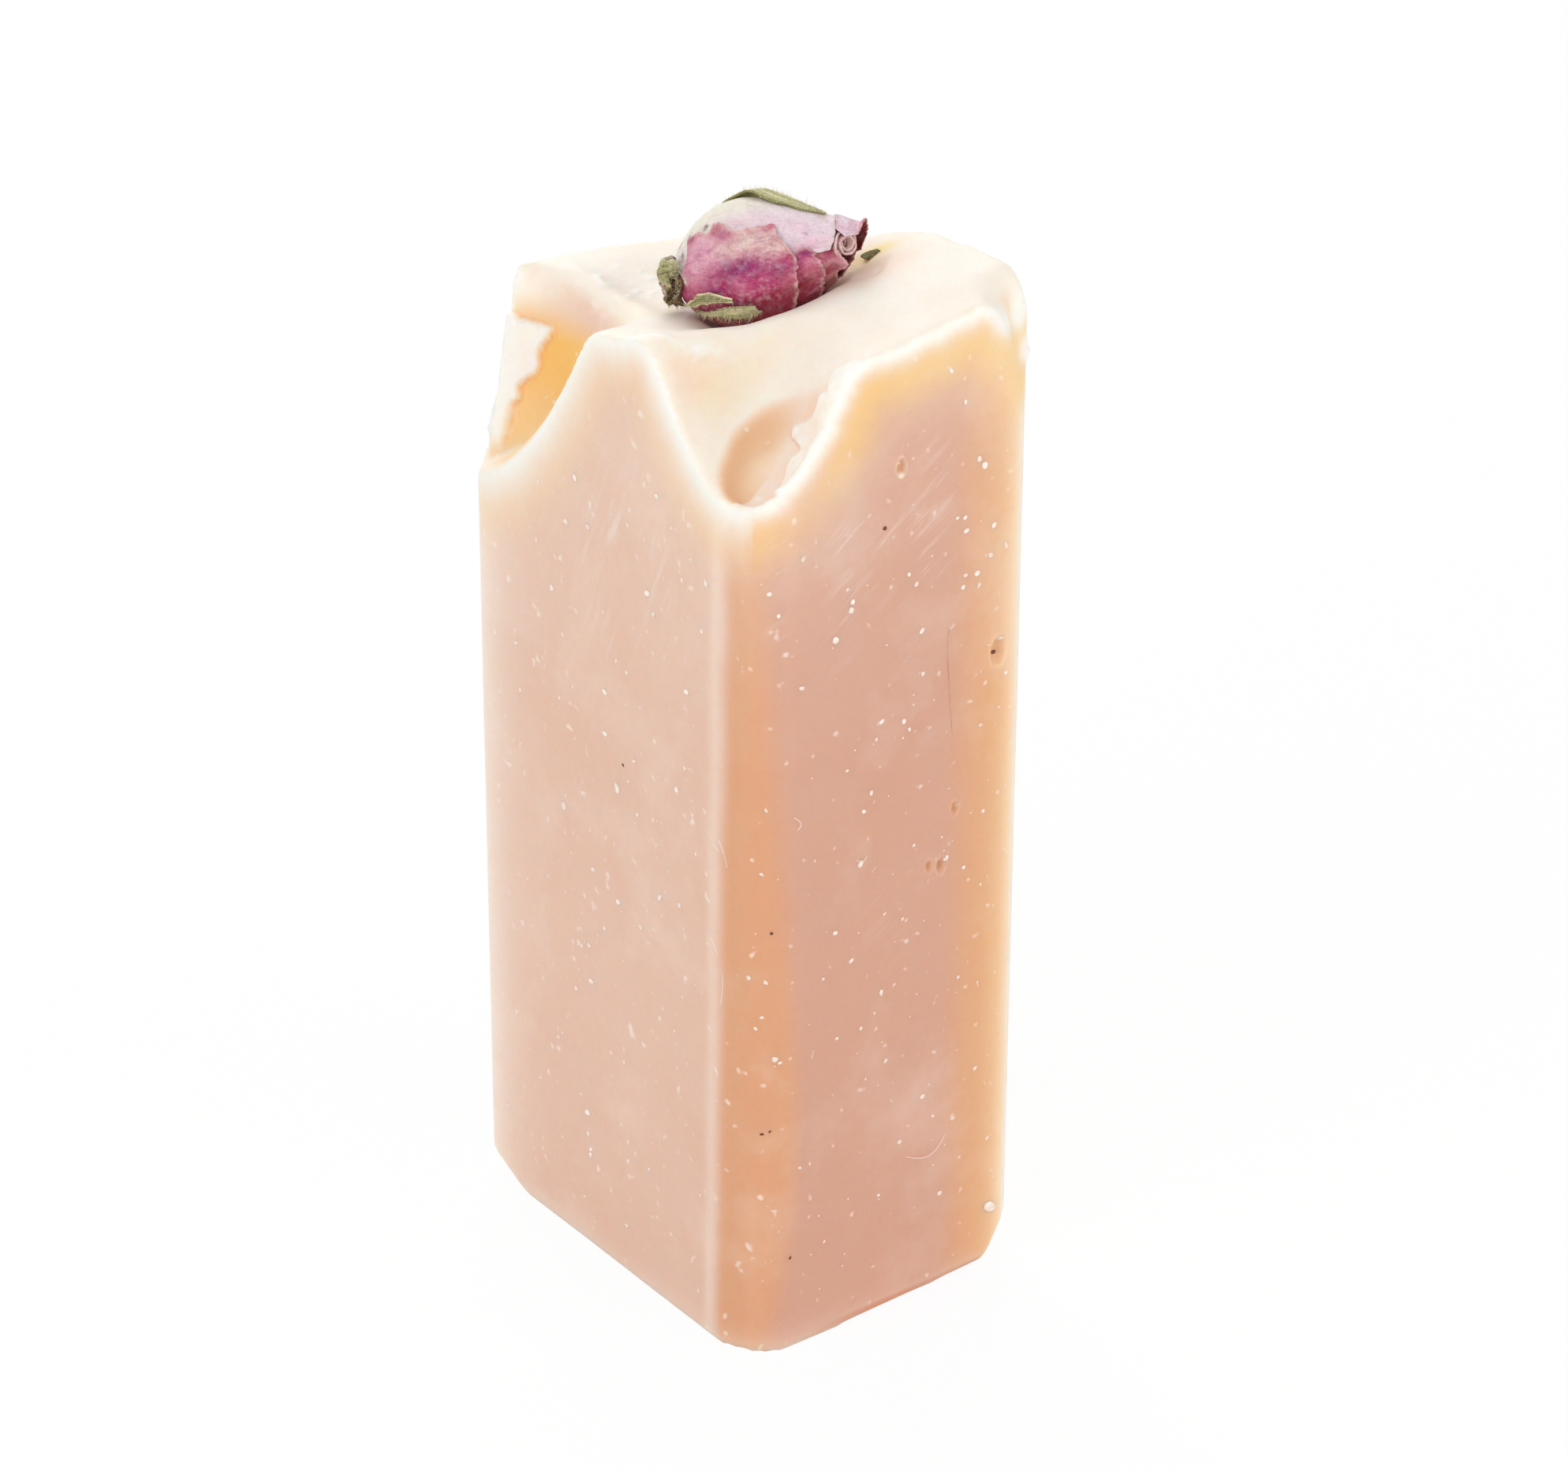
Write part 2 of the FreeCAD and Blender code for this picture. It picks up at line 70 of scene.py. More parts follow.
def colour_property(name, description, default):
    return FloatVectorProperty(name=name, description=description, subtype="COLOR", size=4,
                               min=0.0, max=1.0, default=colour(*default))


def length_property(name, description, millimetres):
    return FloatProperty(name=name, description=description, default=millimetres * MM, min=0.0,
                         unit="LENGTH", subtype="DISTANCE", precision=5)


class SoapLook(bpy.types.PropertyGroup):
    """Sizes and colours of the soap, painted light and shade among them."""
    voxel: length_property("Block detail", "Edge of the voxels that the block is remeshed with", 0.545)
    waviness: length_property("Waviness", "How far the cut faces stray from flat", 0.06)
    burr_height: length_property("Burr height", "Height of the torn burrs along the scoops", 0.5)
    flake_height: length_property("Flake height", "Thickness of the torn flake at the left corner", 0.75)
    bowl_depth: length_property("Bowl depth", "Depth of the round cut inside the near scoop", 0.95)
    fleck_size: length_property("Fleck size", "Usual width of a fleck of soda ash", 0.5)
    fleck_count: IntProperty(name="Small flecks", description="Number of scattered flecks",
                             default=230, min=0, max=2000)
    body: colour_property("Body", "Soap on the wide left face", (234, 199, 178))
    # Rosy is also painted shade: the front face and the faces turned to the back are painted darker than the
    # lit left face
    rosy: colour_property("Rosy", "Soap on the narrow front face", (216, 166, 143))
    # Peach is mostly painted shade: on the planed near edge, the cut under the front face, the hollows and
    # the near scoop
    peach: colour_property("Peach", "Soap on the planed near edge", (226, 170, 130))
    # Amber is painted light and shade: glow under the rims and at the far edges, shade in the hollows and
    # scoops, and glow around the leaf crumb
    amber: colour_property("Amber", "Glow where the soap is thin", (248, 208, 140))
    # Deep amber is painted shade and glow on the wall of the left scoop, and painted shade in the pits
    deep_amber: colour_property("Deep amber", "Wall of the left scoop", (252, 198, 112))
    # Cream is partly painted light: the top is painted pale where it faces up, and pale glow lies at the
    # rims and far edges
    cream: colour_property("Cream", "Soap on the sculpted top", (253, 241, 229))
    # Ash also paints the highlight on the carved rims, beside the real soda ash and torn edges
    ash: colour_property("Ash", "Soda ash and cut edges", (255, 252, 246))
    glow_depth: length_property("Glow depth", "How far light goes through the soap", 2.2)


class RosebudLook(bpy.types.PropertyGroup):
    """Sizes and colours of the rosebud."""
    petal_thickness: length_property("Petal thickness", "Thickness of a dried petal", 0.12)
    wrinkle: length_property("Wrinkles", "Depth of the wrinkles in a petal", 0.12)
    magenta: colour_property("Magenta", "Middle of the front petal", (204, 56, 120))
    plum: colour_property("Plum", "Dark bands of the petals", (146, 36, 112))
    rose: colour_property("Rose", "Faded parts of the front petal", (248, 190, 206))
    salmon: colour_property("Salmon", "Dried rims", (228, 142, 146))
    lavender: colour_property("Lavender", "Upper petal", (255, 234, 243))
    cream: colour_property("Cream", "Foot of the upper petal", (255, 250, 226))
    tan: colour_property("Tan", "Dried patch of the front petal", (250, 222, 208))
    crimson: colour_property("Crimson", "Inner petals and deep shadow", (150, 14, 28))
    green: colour_property("Green", "Fresh side of a sepal", (136, 138, 72))
    straw: colour_property("Straw", "Hairs and dry rims of a sepal", (242, 234, 184))
    bark: colour_property("Bark", "Hip and dead sepals", (92, 60, 36))


class StageLook(bpy.types.PropertyGroup):
    """Light and floor."""
    key_power: FloatProperty(name="Key lamp", description="Power of the large lamp on the left",
                             default=1.2, min=0.0)
    fill_power: FloatProperty(name="Fill lamp", description="Power of the lamp on the right",
                              default=1.15, min=0.0)
    back_power: FloatProperty(name="Back lamp", description="Power of the lamp behind the soap",
                              default=1.05, min=0.0)
    surround: FloatProperty(name="Surround", description="Strength of the plain white surround",
                            default=0.5, min=0.0)
    floor: colour_property("Floor", "Plain pale floor", (255, 255, 255))
    lens: FloatProperty(name="Lens", description="Focal length of the camera in millimetres",
                        default=128.43, min=1.0)


# Small helpers

def deselect():
    bpy.ops.object.select_all(action="DESELECT")


def activate(piece):
    deselect()
    piece.select_set(True)
    bpy.context.view_layer.objects.active = piece


def new_object(name, data):
    piece = bpy.data.objects.new(name, data)
    bpy.context.collection.objects.link(piece)
    return piece


def add_primitive(name, kind, **settings):
    """A primitive under its own name, with nothing else selected."""
    deselect()
    getattr(bpy.ops.mesh, f"primitive_{kind}_add")(**settings)
    bpy.context.object.name = name
    return bpy.context.object


def apply_modifier(piece, kind, **settings):
    activate(piece)
    modifier = piece.modifiers.new(kind.title(), kind)
    for key, value in settings.items():
        setattr(modifier, key, value)
    bpy.ops.object.modifier_apply(modifier=modifier.name)


def edit_whole(piece, *steps):
    """Runs edit mode operators, each a name and its settings, on the whole mesh."""
    activate(piece)
    bpy.ops.object.mode_set(mode="EDIT")
    bpy.ops.mesh.select_all(action="SELECT")
    for name, settings in steps:
        getattr(bpy.ops.mesh, name)(**settings)
    bpy.ops.object.mode_set(mode="OBJECT")


OUTWARD = ("normals_make_consistent", {"inside": False})


def read_points(piece):
    points = np.empty(len(piece.data.vertices) * 3)
    piece.data.vertices.foreach_get("co", points)
    return points.reshape(-1, 3) / MM


def write_points(piece, points):
    piece.data.vertices.foreach_set("co", (points * MM).ravel())
    piece.data.update()


def read_normals(piece):
    normals = np.empty(len(piece.data.vertices) * 3)
    piece.data.vertex_normals.foreach_get("vector", normals)
    return normals.reshape(-1, 3)


def paint(piece, name, values):
    """A number for each vertex, for the material to read."""
    layer = piece.data.attributes.get(name) or piece.data.attributes.new(name, "FLOAT", "POINT")
    layer.data.foreach_set("value", np.asarray(values, dtype=float).ravel())


def paint_colour(piece, name, values):
    layer = piece.data.color_attributes.get(name) or piece.data.color_attributes.new(
        name, "FLOAT_COLOR", "POINT")
    layer.data.foreach_set("color", np.asarray(values, dtype=float).ravel())


def smooth(share):
    """An eased step from 0 to 1."""
    share = np.clip(share, 0.0, 1.0)
    return share * share * (3.0 - 2.0 * share)


def bell(values, middle, width):
    return np.exp(-((values - middle) / width) ** 2)


def levels(shade):
    return np.array(shade[:])


def blend(first, second, share):
    """Mixes rows of colours with a second colour or rows by each row's own share."""
    share = np.clip(np.asarray(share, dtype=float), 0.0, 1.0)[..., None]
    return first * (1.0 - share) + levels(second) * share


def unit(vectors):
    return vectors / np.linalg.norm(vectors, axis=-1, keepdims=True)


def columns(*values):
    """Rows of points from their coordinates; a plain number stands for a whole column."""
    return np.stack(np.broadcast_arrays(*values), axis=-1)


def noise(points, scale, seed=0):
    """Smooth value noise from -1 to 1, one swell for each length of scale."""
    cells = points / scale + 37.0 * (seed + 1)
    low = np.floor(cells).astype(np.int64)
    part = cells - low
    part = part * part * (3.0 - 2.0 * part)
    total = np.zeros(len(points))
    for corner in range(8):
        step = np.array([(corner >> axis) & 1 for axis in range(3)])
        key = (low + step) @ np.array([374761393, 668265263, 2147483647]) + seed * 144269504
        key = (key ^ (key >> 13)) * 1274126177
        key = key ^ (key >> 16)
        value = (key & 0xFFFF) / 32767.5 - 1.0
        total += value * np.prod(np.where(step == 1, part, 1.0 - part), axis=1)
    return total


def rough_noise(points, scale, seed=0, octaves=3):
    """Value noise with finer and finer octaves on top."""
    total = np.zeros(len(points))
    for octave in range(octaves):
        total += noise(points, scale / 2.0 ** octave, seed + octave) / 2.0 ** octave
    return total / 1.75


def finish_piece(piece, material, nodes=()):
    """Material, smooth shading, and the CAD nodes that the piece stands for."""
    piece.data.materials.clear()
    piece.data.materials.append(material)
    activate(piece)
    bpy.ops.object.shade_smooth()
    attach(piece, "root")
    if nodes:
        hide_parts(*nodes)


# Material helpers

class Nodes:
    """Shader nodes of a material or of the world, added in the order that they are wired."""

    def __init__(self, name, world=False):
        self.owner = (bpy.data.worlds if world else bpy.data.materials).new(name)
        self.owner.use_nodes = True
        self.tree = self.owner.node_tree
        self.tree.nodes.clear()
        self.output = self.add("ShaderNodeOutputWorld" if world else "ShaderNodeOutputMaterial")
        if not world:
            self.shader = self.add("ShaderNodeBsdfPrincipled")
            self.link(self.shader.outputs["BSDF"], self.output.inputs["Surface"])
            self.place = self.add("ShaderNodeTexCoord")

    def add(self, kind, **settings):
        node = self.tree.nodes.new(kind)
        for key, value in settings.items():
            setattr(node, key, value)
        return node

    def constants(self, node, values):
        """Sets a node's own sockets by their names and returns the node."""
        for name, value in values.items():
            node.inputs[name].default_value = value
        return node

    def link(self, source, target):
        self.tree.links.new(source, target)

    def mapped(self, scale=(1, 1, 1), turn=(0, 0, 0), source="Object"):
        """Coordinates that are turned first and then scaled."""
        vector = self.place.outputs[source]
        for name, value in (("Rotation", turn), ("Scale", scale)):
            node = self.constants(self.add("ShaderNodeMapping"), {name: value})
            self.link(vector, node.inputs["Vector"])
            vector = node.outputs["Vector"]
        return vector

    def noise(self, scale, detail=3.0, rough=0.55, vector=None, distortion=0.0):
        node = self.constants(self.add("ShaderNodeTexNoise"), {
            "Scale": scale, "Detail": detail, "Roughness": rough, "Distortion": distortion})
        self.link(vector or self.place.outputs["Object"], node.inputs["Vector"])
        return node.outputs["Fac"]

    def attribute(self, name, output="Fac"):
        return self.add("ShaderNodeAttribute", attribute_name=name).outputs[output]

    def ramp(self, source, *stops):
        """Ramp: each stop is a place and a grey level or colour."""
        node = self.add("ShaderNodeValToRGB")
        elements = node.color_ramp.elements
        for index, (at, level) in enumerate(stops):
            element = elements[index] if index < len(elements) else elements.new(at)
            element.position = at
            element.color = level if isinstance(level, tuple) else (level, level, level, 1.0)
        self.link(source, node.inputs["Fac"])
        return node.outputs["Color"]

    def math(self, operation, first, second=0.5, clamp=False):
        node = self.add("ShaderNodeMath", operation=operation, use_clamp=clamp)
        for socket, value in zip(node.inputs, (first, second)):
            if isinstance(value, (int, float)):
                socket.default_value = value
            else:
                self.link(value, socket)
        return node.outputs["Value"]

    def mix(self, first, second, share, mode="MIX"):
        node = self.add("ShaderNodeMix", data_type="RGBA", blend_type=mode)
        colours = [socket for socket in node.inputs if socket.type == "RGBA"]
        for socket, value in zip([node.inputs[0]] + colours, (share, first, second)):
            if isinstance(value, bpy.types.NodeSocket):
                self.link(value, socket)
            elif isinstance(value, (int, float)):
                socket.default_value = value
            else:
                socket.default_value = tuple(value)
        return [socket for socket in node.outputs if socket.type == "RGBA"][0]

    def product(self, first, second, clamp=False):
        return self.math("MULTIPLY", first, second, clamp)

    def tinted(self, tone, tint, share):
        """The tone times a tint, by a share."""
        return self.mix(tone, self.mix(tone, tint, 1.0, "MULTIPLY"), share)

    def bump(self, height, distance, strength=1.0, base=None):
        node = self.constants(self.add("ShaderNodeBump"), {"Strength": strength, "Distance": distance})
        self.link(height, node.inputs["Height"])
        if base is not None:
            self.link(base, node.inputs["Normal"])
        return node.outputs["Normal"]

    def finish(self, tone, normal, settings):
        """Wires the tone and the bump to the shader and sets its other sockets."""
        self.link(tone, self.shader.inputs["Base Color"])
        self.link(normal, self.shader.inputs["Normal"])
        self.constants(self.shader, settings)
        return self.owner

    def white_for(self, rays, surface, white, share):
        """The surface, with white in its place for the rays that are named."""
        path = self.add("ShaderNodeLightPath").outputs
        seen = path[rays[0]]
        for ray in rays[1:]:
            seen = self.math("MAXIMUM", seen, path[ray])
        mixer = self.add("ShaderNodeMixShader")
        self.link(self.product(seen, share), mixer.inputs["Fac"])
        for index, source in enumerate((surface, white), 1):
            self.link(source.outputs[0], mixer.inputs[index])
        self.link(mixer.outputs["Shader"], self.output.inputs["Surface"])
        return self.owner


def soap_material(look):
    """Waxy soap: painted tones, soft mottling, smeared tool marks and light that sinks in."""
    nodes = Nodes("handmade_soap")
    tone = nodes.attribute("tone", "Color")
    mottle = nodes.noise(170.0, 4.0, 0.6)
    fine = nodes.noise(1300.0, 4.0, 0.7)
    tone = nodes.tinted(tone, (1.0, 0.94, 0.90, 1.0), nodes.ramp(mottle, (0.40, 0.0), (0.64, 0.5)))
    tone = nodes.tinted(tone, (0.98, 0.96, 0.94, 1.0), nodes.ramp(fine, (0.45, 0.0), (0.7, 0.8)))
    sunk = nodes.ramp(nodes.noise(900.0, 1.0, 0.4), (0.70, 0.0), (0.80, 0.6))
    tone = nodes.mix(tone, look.cream, sunk)
    cloud = nodes.ramp(nodes.noise(75.0, 5.0, 0.6), (0.5, 0.0), (0.7, 0.5))
    tone = nodes.mix(tone, look.cream, nodes.product(cloud, 0.4))
    # Strokes on the front face rise to the right and those on the left face fall to the right
    front = nodes.noise(520.0, 4.0, 0.7, nodes.mapped((0.22, 1.0, 2.2), (0.0, 0.62, 0.0)), 0.2)
    left = nodes.noise(480.0, 4.0, 0.7, nodes.mapped((1.0, 2.2, 0.2), (-0.42, 0.0, 0.0)), 0.2)
    smears = [nodes.product(nodes.ramp(marks, (0.52, 0.0), (0.66, 1.0)), nodes.attribute(where))
              for marks, where in ((front, "smear_front"), (left, "smear_left"))]
    strokes = nodes.math("ADD", *smears, True)
    tone = nodes.mix(tone, look.ash, nodes.product(strokes, 0.26))
    nodes.shader.subsurface_method = "RANDOM_WALK"
    shine = nodes.math("ADD", nodes.product(mottle, 0.2), 0.40)
    nodes.link(shine, nodes.shader.inputs["Roughness"])
    grain = nodes.bump(fine, 0.00004, 0.6)
    return nodes.finish(tone, nodes.bump(strokes, 0.00005, 0.5, grain), {
        "Subsurface Weight": 0.6, "Subsurface Radius": (1.0, 0.6, 0.35),
        "Subsurface Scale": look.glow_depth, "IOR": 1.45})


def petal_material(name, look):
    """Dried petal: painted tones, veins along its own UV map and a fine bleached grain."""
    nodes = Nodes(name)
    tone = nodes.attribute("tone", "Color")
    veined = nodes.attribute("veined")
    deep = nodes.mix(tone, (0.74, 0.50, 0.66, 1.0), 1.0, "MULTIPLY")
    veins = nodes.noise(30.0, 4.0, 0.65, nodes.mapped((1.5, 0.13, 1.0), source="UV"), 0.25)
    grain = nodes.noise(3800.0, 4.0, 0.75)
    for marks in (nodes.ramp(veins, (0.47, 0.0), (0.66, 1.0)), nodes.ramp(grain, (0.36, 0.8), (0.5, 0.0))):
        tone = nodes.mix(tone, deep, nodes.product(marks, veined))
    pale = nodes.mix(tone, (1.0, 0.86, 0.88, 1.0), 0.36)
    bloom = nodes.product(nodes.ramp(nodes.noise(1500.0, 5.0, 0.75), (0.46, 0.0), (0.62, 1.0)),
                          nodes.ramp(nodes.noise(420.0, 3.0, 0.6), (0.42, 0.25), (0.6, 1.0)))
    tone = nodes.mix(tone, pale, nodes.product(bloom, nodes.attribute("bleached")))
    tone = nodes.mix(tone, look.tan, nodes.product(nodes.attribute("rim"), 0.7, True))
    crinkle = nodes.bump(nodes.noise(2600.0, 5.0, 0.7, distortion=0.4), 0.00016, 0.9)
    folds = nodes.bump(nodes.noise(900.0, 4.0, 0.6, distortion=0.8), 0.0006, 0.8, crinkle)
    return nodes.finish(tone, nodes.bump(veins, 0.00022, 0.6, folds), {
        "Roughness": 0.6, "Sheen Weight": 0.12, "Sheen Roughness": 0.5, "Subsurface Weight": 0.08,
        "Subsurface Radius": (1.0, 0.45, 0.5), "Subsurface Scale": 0.0002, "IOR": 1.38})


def leaf_material(name, main, pale, dark):
    """Dried leaf: streaks along it, pale rims and hairs, brown blotches, and a dark middle line that is
    partly painted shade.
    """
    nodes = Nodes(name)
    streaks = nodes.noise(24.0, 4.0, 0.6, nodes.mapped((1.6, 0.16, 1.0), source="UV"), 0.3)
    split = nodes.add("ShaderNodeSeparateXYZ")
    nodes.link(nodes.place.outputs["UV"], split.inputs["Vector"])
    side = nodes.math("ABSOLUTE", nodes.math("SUBTRACT", split.outputs["X"], 0.5))
    tone = nodes.mix(main, pale, nodes.ramp(streaks, (0.42, 0.0), (0.64, 0.85)))
    # The dark line down the middle is the midrib's own colour and painted shade in its fold
    for shade, source, first, second in (
            (dark, nodes.noise(900.0, 4.0, 0.65), (0.54, 0.0), (0.7, 0.4)),
            (pale, side, (0.36, 0.0), (0.47, 0.85)),
            (dark, side, (0.01, 0.6), (0.06, 0.0)),
            (pale, nodes.noise(4200.0, 2.0, 0.6), (0.56, 0.0), (0.7, 0.6))):
        tone = nodes.mix(tone, shade, nodes.ramp(source, first, second))
    ribs = nodes.bump(streaks, 0.00022, 0.8)
    return nodes.finish(tone, nodes.bump(nodes.noise(3000.0, 3.0, 0.6), 0.00008, 0.7, ribs), {
        "Roughness": 0.7, "Sheen Weight": 0.05, "IOR": 1.4})


def plain_material(name, main, second, scale, roughness):
    """Two close colours mixed by noise, with a fine bump."""
    nodes = Nodes(name)
    cloud = nodes.noise(scale, 4.0, 0.6)
    tone = nodes.mix(main, second, nodes.ramp(cloud, (0.4, 0.0), (0.65, 1.0)))
    grain = nodes.bump(nodes.noise(scale * 4.0, 3.0, 0.6), 0.00006, 0.6)
    return nodes.finish(tone, grain, {"Roughness": roughness})


# The soap. Its points are worked on from the bar's left, front and bottom, in millimetres

def from_corner(points):
    return points - SOAP_LOW


def to_frame(points):
    return points + SOAP_LOW


# Heights: the glow under the rims begins, then the carved top, then the finer faces
GLOW_FROM = 58.0
TOP_FROM = 66.0
FINE_FROM = 76.0
FAR_FROM_RIM = 60.0

# Pits in the front face: place across it, height, radius and depth
PITS = ((26.0, 62.0, 0.8, 0.6), (20.3, 43.2, 0.5, 0.5), (19.0, 43.5, 0.4, 0.35), (21.7, 48.3, 0.42, 0.35),
        (15.4, 82.0, 0.5, 0.3))

# Flecks that show one by one: face, then place across it, height and width of each
FLECKS = (
    ("left", ((18.9, 48.9, 0.95), (20.6, 57.5, 0.65), (20.7, 53.5, 0.6), (27.0, 43.7, 0.8),
        (10.2, 52.6, 0.6), (33.9, 56.7, 0.5), (33.4, 52.3, 0.45), (27.4, 54.1, 0.4), (22.8, 72.2, 0.6),
        (20.7, 65.1, 0.45), (16.3, 52.7, 0.5), (6.0, 73.6, 0.6), (6.6, 69.0, 0.5), (12.8, 41.1, 0.6),
        (9.9, 41.6, 0.45), (23.2, 27.8, 0.65), (24.1, 13.9, 0.7), (17.9, 12.0, 0.55), (18.2, 5.1, 0.55),
        (28.3, 64.3, 0.55), (12.8, 78.9, 0.55), (17.0, 74.6, 0.45), (19.0, 37.8, 0.6), (15.7, 36.8, 0.5),
        (24.6, 76.0, 0.8), (26.0, 71.4, 0.6), (14.3, 69.4, 0.7), (13.4, 67.8, 0.5), (30.5, 68.0, 0.5),
        (8.8, 62.5, 0.6))),
    ("front", ((25.3, 74.0, 0.6), (25.0, 71.3, 0.6), (23.6, 70.0, 0.5), (24.2, 79.8, 0.7),
        (10.4, 70.5, 0.6), (8.8, 68.2, 0.7), (17.9, 66.4, 0.5))),
    ("left", ((23.5, 31.4, 0.55), (21.0, 34.2, 0.45))),
    ("front", ((13.7, 59.1, 0.5), (16.1, 58.4, 0.5), (9.1, 40.4, 0.5), (10.8, 37.1, 0.5),
        (14.1, 32.8, 0.5), (11.7, 46.2, 0.6), (18.0, 62.3, 0.4), (12.7, 52.7, 0.45), (22.0, 86.1, 0.4),
        (23.6, 80.5, 0.55), (20.5, 89.3, 0.4), (5.4, 64.8, 0.5), (22.4, 74.3, 0.5), (22.2, 75.6, 0.4),
        (16.4, 72.0, 0.4), (15.4, 82.3, 0.3), (26.3, 63.1, 0.55), (20.8, 43.8, 0.5), (22.8, 42.2, 0.4),
        (26.6, 6.3, 1.15), (17.2, 70.9, 0.45))),
    ("near", ((3.0, 29.9, 0.6), (1.4, 33.0, 0.35), (2.4, 74.0, 0.45), (2.2, 37.5, 0.4), (1.8, 48.0, 0.3),
        (2.2, 54.0, 0.35))),
)

# Dark specks: face, then place across it, height and width of each
SPECKS = (
    ("front", ((13.8, 77.0, 0.42),)),
    ("left", ((18.0, 51.6, 0.3),)),
    ("near", ((2.7, 42.2, 0.3), (1.9, 22.5, 0.32), (2.6, 22.7, 0.24))),
    ("front", ((4.5, 9.5, 0.3), (26.0, 61.7, 0.45))),
)

# Round cut in the near scoop; nothing above its top is cut
BOWL_MIDDLE = (5.0, 3.4)
BOWL_RADIUS = 4.85
BOWL_TOP = 91.5

# Rays that look for a face of the block start this far outside it
RAY_START = 3.0


def on_spots(groups):
    """The rows of a table of spots, each with the name of its face."""
    return [(face, *spot) for face, spots in groups for spot in spots]


def wall_distance(x, y):
    """How far inside the planed outline of the bar a point is."""
    corners = ((4.2, 0), (BAR_WIDTH - 2, 0), (BAR_WIDTH, 2), (BAR_WIDTH, BAR_DEPTH - 4),
               (BAR_WIDTH - 4, BAR_DEPTH), (2.6, BAR_DEPTH), (0, BAR_DEPTH - 2.6), (0, 4.6), (1.3, 1.3))
    nearest = np.full(len(x), 1e9)
    for (ax, ay), (bx, by) in zip(corners, corners[1:] + corners[:1]):
        length = math.hypot(bx - ax, by - ay)
        nearest = np.minimum(nearest, ((bx - ax) * (y - ay) - (by - ay) * (x - ax)) / length)
    return nearest


